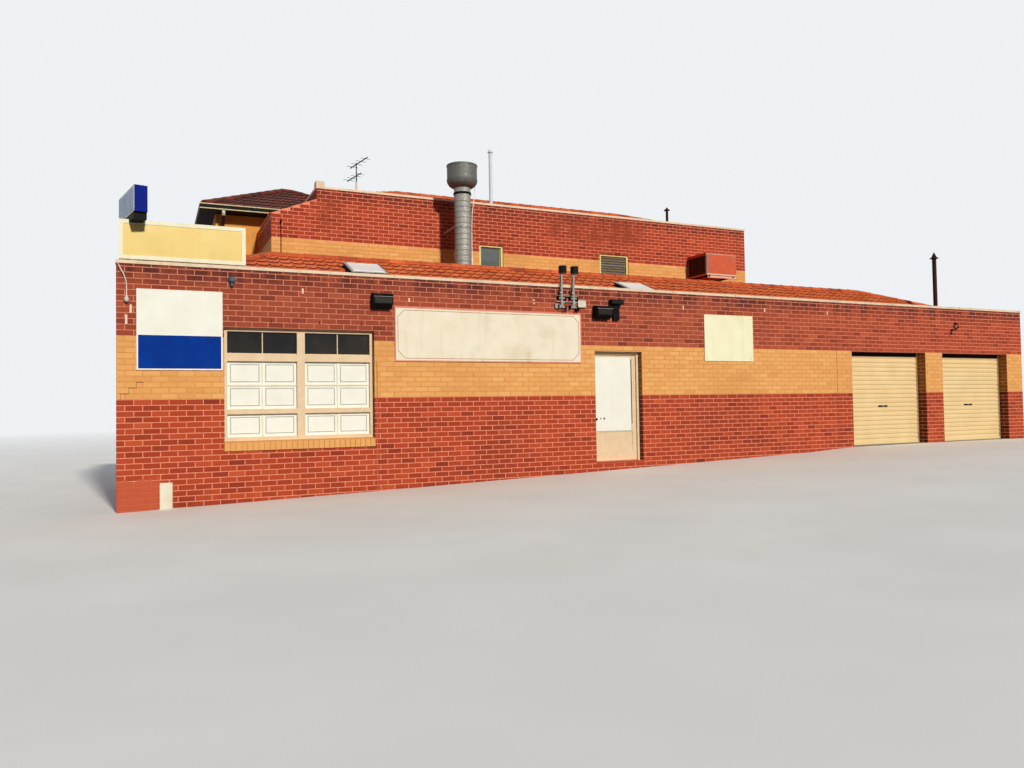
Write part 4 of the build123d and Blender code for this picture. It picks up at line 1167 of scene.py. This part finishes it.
def sign_faces():
    """The inset yellow face of the roof sign and the pale broad faces of the corner sign."""
    low, high = span("roof_sign")
    lip = 0.06
    foot = high.z - 0.59
    panel = Build()
    panel.panel(low.x + lip, high.x - lip, foot + lip, high.z - lip, 0.015, 0.008, 0, 0.002)
    panel.piece("roof_sign_panel", [YELLOW], "sign_case")

    width, length, tall = SIGN_SIZE
    across = Vector((math.cos(SIGN_TURN), math.sin(SIGN_TURN), 0))
    away = Vector((-math.sin(SIGN_TURN), math.cos(SIGN_TURN), 0))
    corner = Vector((*SIGN_CORNER, SIGN_FOOT))
    rim = 0.03
    inner = (length - 2 * rim, tall - 2 * rim, 0.005)
    faces = Build()
    for start, along in ((corner + away * length, -away), (corner + across * width, away)):
        faces.block(start, along, UP, (length, tall, 0.003), 0.001, 1)
        faces.block(start + (along + UP) * rim, along, UP, inner, 0.001, 0)
    faces.piece("corner_sign_faces", [PALE_BLUE, SHEET], "blue_case")


# Fittings on walls and roofs


def flue_parts():
    """Seams round the duct, the dark band and bowl under the cowl and a thin conduit beside it."""
    high = span("flue")[1]
    cowl_low, cowl_high = span("flue_cowl")
    centre = (cowl_low + cowl_high) / 2
    axis = Vector((centre.x, centre.y, 0))
    radius = FLUE_RADIUS
    edge = radius + 0.004
    seam = [(radius, -0.010), (edge, -0.004), (edge, 0.004), (radius, 0.010)]
    count = 17
    pitch = (high.z - 0.2 - FLUE_FOOT) / count
    seams = Build()
    for index in range(count):
        seams.turned(axis + UP * (FLUE_FOOT + index * pitch), UP, seam, 32, 2)
    edge = radius + 0.018
    band = [(radius, -0.004), (edge, 0), (edge, 0.042), (radius, 0.046)]
    seams.turned(axis + UP * (high.z - 0.15), UP, band, 32, 1)
    seams.piece("flue_seams", [ZINC, DARK, RING], "zinc", smooth=True)

    rim = (cowl_high.x - cowl_low.x) / 2
    dish = [(radius, 0.011), (rim * 0.69, 0.022), (rim * 0.86, 0.066), (rim * 0.96, 0.121), (rim, 0.190)]
    bowl = Build()
    bowl.turned(axis + UP * cowl_low.z, UP, dish, 40)
    bowl.piece("cowl_bowl", [COWL_ZINC], "zinc", smooth=True)

    # The conduit's bends, each with its height and distance from the duct's middle, and its clips
    bends = ((6.60, 0.290), (6.45, 0.290), (6.25, 0.262), (5.95, 0.222), (5.60, 0.208), (4.30, 0.208))
    clips = (5.55, 5.0, 4.5)
    side = Vector((0.94, -0.34, 0))
    conduit = Build()
    conduit.tube([axis + side * reach + UP * z for z, reach in bends], 0.009)
    for z in clips:
        place = axis + side * (radius - 0.002) + UP * z
        conduit.tube([place, place + side * 0.022], 0.014, 1)
    conduit.piece("flue_conduit", [SHEET, ZINC], "white_metal", smooth=True)


def vent_collars():
    """A flat collar under the pointed cap of each brown vent pipe."""
    collars = Build()
    for (low, high), drop in zip(solids("vent_pipes")[1:], (0.110, 0.180)):
        rim = (high.x - low.x) / 2
        wide = rim + 0.030
        centre = ((low.x + high.x) / 2, (low.y + high.y) / 2, high.z - drop)
        profile = [(rim - 0.026, -0.004), (wide, 0.006), (wide, 0.018), (rim * 0.85, 0.036)]
        collars.turned(centre, UP, profile)
    collars.piece("vent_collars", [VENT_TRIM], "dark_metal", smooth=True)


def cooler_parts():
    """Slats on both sides of the cooler, a pale corner post and a pale tray edge."""
    skin = 0.015
    low, high = span("cooler")
    left, right, front = low.x + skin, high.x - skin, low.y + skin
    top = high.z - 0.03
    depth = high.y - front
    count = 11
    pitch = (top - low.z - 0.08) / count
    parts = Build()
    # Backing and slats on both sides in near-black maroon: partly the grille's own colour, partly painted
    # shade of the cooler's sides
    for face in ((Vector((left, high.y, 0)), -BACK), (Vector((right, front, 0)), BACK)):
        parts.panel(0.04, depth - 0.05, low.z + 0.04, top - 0.04, 0, 0.004, face=face)
        for index in range(count):
            bottom = low.z + 0.04 + index * pitch
            slat = (0.05, depth - 0.06, bottom + 0.01, bottom + pitch - 0.012)
            parts.panel(*slat, -0.004, 0.010, 0, 0.008, face)
        parts.outline(0.02, depth - 0.03, low.z + 0.02, top - 0.02, 0, 0.02, 1, face)
    parts.panel(left, left + 0.08, low.z, top, front, 0.006, 3, 0.003)
    parts.panel(left, right, low.z, low.z + 0.035, front, 0.010, 2, 0.003)
    parts.panel(left - 0.01, right + 0.01, top - 0.018, top, front, 0.010, 2, 0.003)
    parts.box(left + 0.06, right, front + 0.02, front + 0.04, low.z - 0.070, low.z - 0.001, 4, 0.003)
    paints = [MAROON_SHADE_PAINT, LOOKS["red_case"], CREAM_METAL, POST_PAINT, TRAY]
    parts.piece("cooler_fittings", paints, "red_case")


def capping_seams():
    """Lapped joints along the metal capping of the street face."""
    low, high = span("street_capping")
    front, back, foot, top = low.y, high.y, low.z, high.z
    lap = (
        (-0.03, 0.03, front - 0.002, front, foot, top, 0, 0.0005),
        (-0.03, 0.03, front - 0.002, back, top, top + 0.002, 0, 0.0005),
        (-0.032, -0.028, front - 0.003, back, foot, top + 0.003, 1, 0.0005),
    )
    count = 9
    seams = Build()
    for index in range(1, count):
        seams.boxes(lap, low.x + (high.x - low.x) * index / count)
    seams.piece("capping_seams", [CREAM_METAL, EDGE], "cream_metal")


def lamp_parts():
    """Lens frames, visors and wall boxes of the floodlights."""
    shallow = 0.15
    wall_box_lens = (3.41, 3.46)
    parts = Build()
    for low, high in solids("floodlights"):
        left, right = low.x + 0.02, high.x - 0.02
        if high.y - low.y < shallow:
            parts.panel(left, right, *wall_box_lens, low.y, 0.004, 1)
            continue
        line = low.z + 0.19
        # A grey rim round each deep lamp at this line: partly its frame, partly a painted highlight along the
        # visor's edge
        parts.box(low.x - 0.004, high.x + 0.004, low.y, low.y + 0.02, line, line + 0.010, 0, 0.002)
        parts.box(left, right, low.y + 0.006, low.y + 0.012, low.z + 0.085, line - 0.01, 1, 0.001)
    parts.piece("lamp_fittings", [EDGE, LENS_PAINT], "dark_metal")


def mast_parts():
    """Insulators, brackets, boxes and short leads at the service masts."""
    # Tables of boxes: left, right, front, back, bottom, top, material and chamfer
    clamp = (
        (-0.075, 0.075, -0.045, -0.002, -0.018, 0.018, 0, 0.004),
        (-0.10, -0.07, -0.075, -0.03, -0.035, 0.045, 1, 0.008),
        (0.055, 0.085, -0.070, -0.03, -0.045, 0.030, 1, 0.008),
    )
    blocks = (
        (-0.035, 0.045, -0.060, -0.002, 3.37, 3.42, 0, 0.004),
        (-0.06, -0.01, -0.070, -0.02, 3.55, 3.585, 0, 0.004),
    )
    rising = ((-0.085, -0.05, 3.50), (-0.06, -0.06, 3.62), (-0.035, -0.05, 3.80), (-0.02, -0.045, 3.93))
    hanging = ((0.07, -0.05, 3.30), (0.09, -0.055, 3.23), (0.05, -0.04, 3.205), (0, -0.03, 3.23))
    middles = [(low.x + high.x) / 2 for low, high in solids("service_masts")]
    parts = Build()
    leads = Build()
    for middle in middles:
        x = middle - 0.02
        for z in (3.30, 3.47):
            parts.boxes(clamp, x, z)
        parts.boxes(blocks, x)
        for run in (rising, hanging):
            leads.tube([Vector(place) + RIGHT * x for place in run], 0.008)
    first, last = middles
    rails_and_boxes = (
        (first - 0.13, last + 0.06, -0.050, -0.034, 3.505, 3.520, 0, 0.002),
        (first - 0.15, last + 0.08, -0.050, -0.034, 3.395, 3.410, 0, 0.002),
        (first - 0.17, first - 0.10, -0.050, -0.002, 3.27, 3.36, 0, 0.004),
        (7.745, 7.925, -0.055, -0.002, 3.305, 3.445, 2, 0.006),
        (7.69, 7.78, -0.075, -0.002, 3.245, 3.30, 1, 0.008),
    )
    parts.boxes(rails_and_boxes)
    parts.piece("mast_fittings", [EDGE, DARK, WHITE], "dark_metal")
    leads.piece("mast_leads", [DARK], "dark_metal", smooth=True)


def wall_plates():
    """Clips along the top of the street face and the box at the foot of its corner."""
    # Clips: place along the wall, height of their middle and how tall they are
    clips = (
        (0.13, 2.84, 0.15), (0.19, 3.00, 0.13), (2.69, 3.38, 0.09),
        (4.47, 3.31, 0.07), (6.85, 3.35, 0.03), (6.85, 3.41, 0.03),
        (10.19, 3.40, 0.09), (12.30, 3.43, 0.09), (14.09, 3.43, 0.08),
    )
    plates = Build()
    for x, z, tall in clips:
        plates.panel(x - 0.018, x + 0.018, z - tall / 2, z + tall / 2, 0, 0.016, 0, 0.003)
    plates.panel(0.57, 0.755, 0, 0.41, 0, 0.045, 1, 0.006)
    plates.panel(0.585, 0.74, 0.02, 0.395, -0.045, 0.004, 1, 0.003)
    plates.piece("wall_plates", [CREAM_METAL, BOARD], "white_metal")


def weep_holes():
    """Three open joints in the course over the shop window, drawn as dark panels: painted shade inside the
    joints.
    """
    low, high = span("shop_window_frame")
    weeps = Build()
    for share in (0.30, 0.62, 0.91):
        x = low.x + share * (high.x - low.x)
        weeps.panel(x - 0.008, x + 0.008, high.z + 0.08, high.z + 0.14, 0, 0.0065)
    weeps.piece("weep_holes", [MAROON_SHADE_PAINT], "brick")


def house_conduit():
    """A conduit up the house wall with its clips and the round box at its head."""
    corner = span("house_street_wall")[0]
    x, y = corner.x + 0.20, corner.y
    conduit = Build()
    conduit.tube([(x, y - 0.012, 4.80), (x, y - 0.012, 5.68)], 0.010)
    for z, reach, radius in ((5.10, 0.026, 0.014), (5.40, 0.026, 0.014), (5.61, 0.060, 0.024)):
        conduit.tube([(x, y - 0.001, z), (x, y - reach, z)], radius)
    conduit.piece("house_conduit", [DARK], "dark_metal", smooth=True)


def corner_lamps():
    """A domed lamp over the left board, and a bulb on its bent tube beside it."""
    dome = [(0.060, 0), (0.060, 0.016), (0.050, 0.028), (0.044, 0.060), (0.028, 0.084), (0, 0.092)]
    holder = [(0.024, 0), (0.027, 0.032), (0.011, 0.060), (0, 0.062)]
    bulb = [(0, -0.11), (0.018, -0.105), (0.034, -0.085), (0.036, -0.06), (0.02, -0.03), (0.012, 0)]
    run = [(0.02, 3.665), (0.05, 3.60), (0.10, 3.50), (0.13, 3.40), (0.135, 3.30), (0.135, 3.19)]
    lamps = Build()
    lamps.turned((1.61, 0, 3.50), -BACK, dome, 20)
    lamps.turned((1.61, -0.04, 3.452), -UP, holder, 16)
    lamps.turned((0.135, -0.045, 3.20), UP, bulb, 16, 1)
    lamps.tube([(x, -0.037, z) for x, z in run], 0.009, 1)
    for x, z in ((0.07, 3.56), (0.133, 3.36)):
        lamps.tube([(x, -0.002, z), (x, -0.04, z)], 0.012, 1)
    lamps.piece("corner_lamps", [STEEL_BLUE, WHITE], "dark_metal", smooth=True)


def scroll_bracket():
    """A bar bent to a scroll over the second garage door and the two studs that hold it."""
    curve = (
        (18.13, 3.05), (18.10, 3.11), (18.15, 3.17), (18.22, 3.15), (18.26, 3.20),
        (18.22, 3.27), (18.27, 3.33), (18.36, 3.31), (18.37, 3.23), (18.30, 3.19),
    )
    bracket = Build()
    bracket.tube([(x, -0.035, z) for x, z in curve], 0.014)
    for x, z in (curve[2], curve[6]):
        bracket.tube([(x, -0.002, z), (x, -0.045, z)], 0.016)
    bracket.piece("scroll_bracket", [DARK], "dark_metal", smooth=True)


def band_cracks():
    """A stepped crack along the joints of the pale band near the corner."""
    chance = random.Random(31)
    crack = Build()
    x = 0.36
    z = BAND_BOTTOM + 3 * COURSE
    half = 0.003
    rise = 0.0062
    for _ in range(3):
        run = BRICK * chance.uniform(0.4, 0.55)
        crack.panel(x - run, x, z - half, z + half, 0, rise, 0, 0.0003)
        crack.panel(x - run - half, x - run + half, z - COURSE, z, 0, rise, 0, 0.0003)
        x -= run
        z -= COURSE
    crack.piece("band_cracks", [SEAM_PAINT], "brick")


# Camera, light and floor


def camera():
    data = bpy.data.cameras.new("camera")
    data.lens = LENS
    data.sensor_width = 36
    data.clip_end = 500
    level = Vector((math.cos(CAMERA_YAW), -math.sin(CAMERA_YAW), 0))
    ahead = Vector((math.sin(CAMERA_YAW), math.cos(CAMERA_YAW), 0))
    forward = ahead * math.cos(CAMERA_PITCH) + UP * math.sin(CAMERA_PITCH)
    above = level.cross(forward)
    right = level * math.cos(CAMERA_ROLL) + above * math.sin(CAMERA_ROLL)
    top = above * math.cos(CAMERA_ROLL) - level * math.sin(CAMERA_ROLL)
    place = Vector(CAMERA_PLACE) + ORIGIN
    item = placed("camera", data)
    item.matrix_world = Matrix.Translation(place) @ Matrix((right, top, -forward)).transposed().to_4x4()
    bpy.context.scene.camera = item


def seen_share(tree):
    """1 for rays that show the surroundings: to the camera, in a reflection and through glass."""
    paths = tree.nodes.new("ShaderNodeLightPath").outputs
    share = paths["Is Camera Ray"]
    for name in ("Is Glossy Ray", "Is Transmission Ray"):
        share = add_node(tree, "ShaderNodeMath", {0: share, 1: paths[name]}, "MAXIMUM").outputs["Value"]
    return share


def light():
    """Sun from the front and a soft surround, stronger behind so that the hidden sides read."""
    sun = bpy.data.lights.new("sun", "SUN")
    sun.energy = SUN_ENERGY
    sun.angle = math.radians(4)
    sun.color = SUN_COLOUR
    item = placed("sun", sun)
    item.rotation_mode = "QUATERNION"
    item.rotation_quaternion = Vector(SUN_PLACE).normalized().to_track_quat("Z", "Y")

    world = bpy.data.worlds.new("world")
    bpy.context.scene.world = world
    world.use_nodes = True
    tree = world.node_tree
    tree.nodes.clear()
    view = tree.nodes.new("ShaderNodeTexCoord").outputs["Generated"]
    backward = add_node(tree, "ShaderNodeSeparateXYZ", {"Vector": view}).outputs["Y"]
    strength = fade(tree, backward, 0.1, 0.9, FRONT_FILL, BACK_FILL)
    fill = add_node(tree, "ShaderNodeBackground", {"Color": FILL_COLOUR, "Strength": strength})
    seen = add_node(tree, "ShaderNodeBackground", {"Color": SEEN_COLOUR, "Strength": 1.0})
    both = {"Fac": seen_share(tree), 1: fill.outputs["Background"], 2: seen.outputs["Background"]}
    mix = add_node(tree, "ShaderNodeMixShader", both)
    add_node(tree, "ShaderNodeOutputWorld", {"Surface": mix.outputs["Shader"]})
    settings = bpy.context.scene.view_settings
    settings.view_transform = "Standard"
    settings.look = "None"


def floor():
    """Plain pale ground that rises to the right as the street does and fades out far away."""
    mesh = bpy.data.meshes.new("floor")
    sides = (-GROUND_DEPTH, GROUND_DEPTH)
    points = [(x + ORIGIN.x, y, height - GROUND_GAP) for x, height in GROUND for y in sides]
    faces = [(2 * i, 2 * i + 2, 2 * i + 3, 2 * i + 1) for i in range(len(GROUND) - 1)]
    mesh.from_pydata(points, [], faces)
    look = Shader("floor", 0.9, gloss=0.1)
    grain = look.fade(look.noise(0.6, detail=3), 0.3, 0.7)
    pale = look.mix(grain, GROUND_DARK, GROUND_LIGHT)
    shade = look.mix(seen_share(look.tree), GROUND_BOUNCE, pale)
    away = add_node(look.tree, "ShaderNodeVectorMath", {0: look.place}, "LENGTH").outputs["Value"]
    look.surface({"Alpha": look.fade(away, *GROUND_FADE)})
    mesh.materials.append(look.done(shade))
    placed("floor", mesh)


camera()
light()
floor()
dress_frame()
street_bricks()
house_bricks()
roof_tiles()
skylight_sheets()
shop_windows()
upper_windows()
door_parts()
shutter_parts()
left_board()
long_board()
small_board()
sign_faces()
flue_parts()
vent_collars()
cooler_parts()
capping_seams()
lamp_parts()
mast_parts()
wall_plates()
weep_holes()
house_conduit()
corner_lamps()
scroll_bracket()
band_cracks()
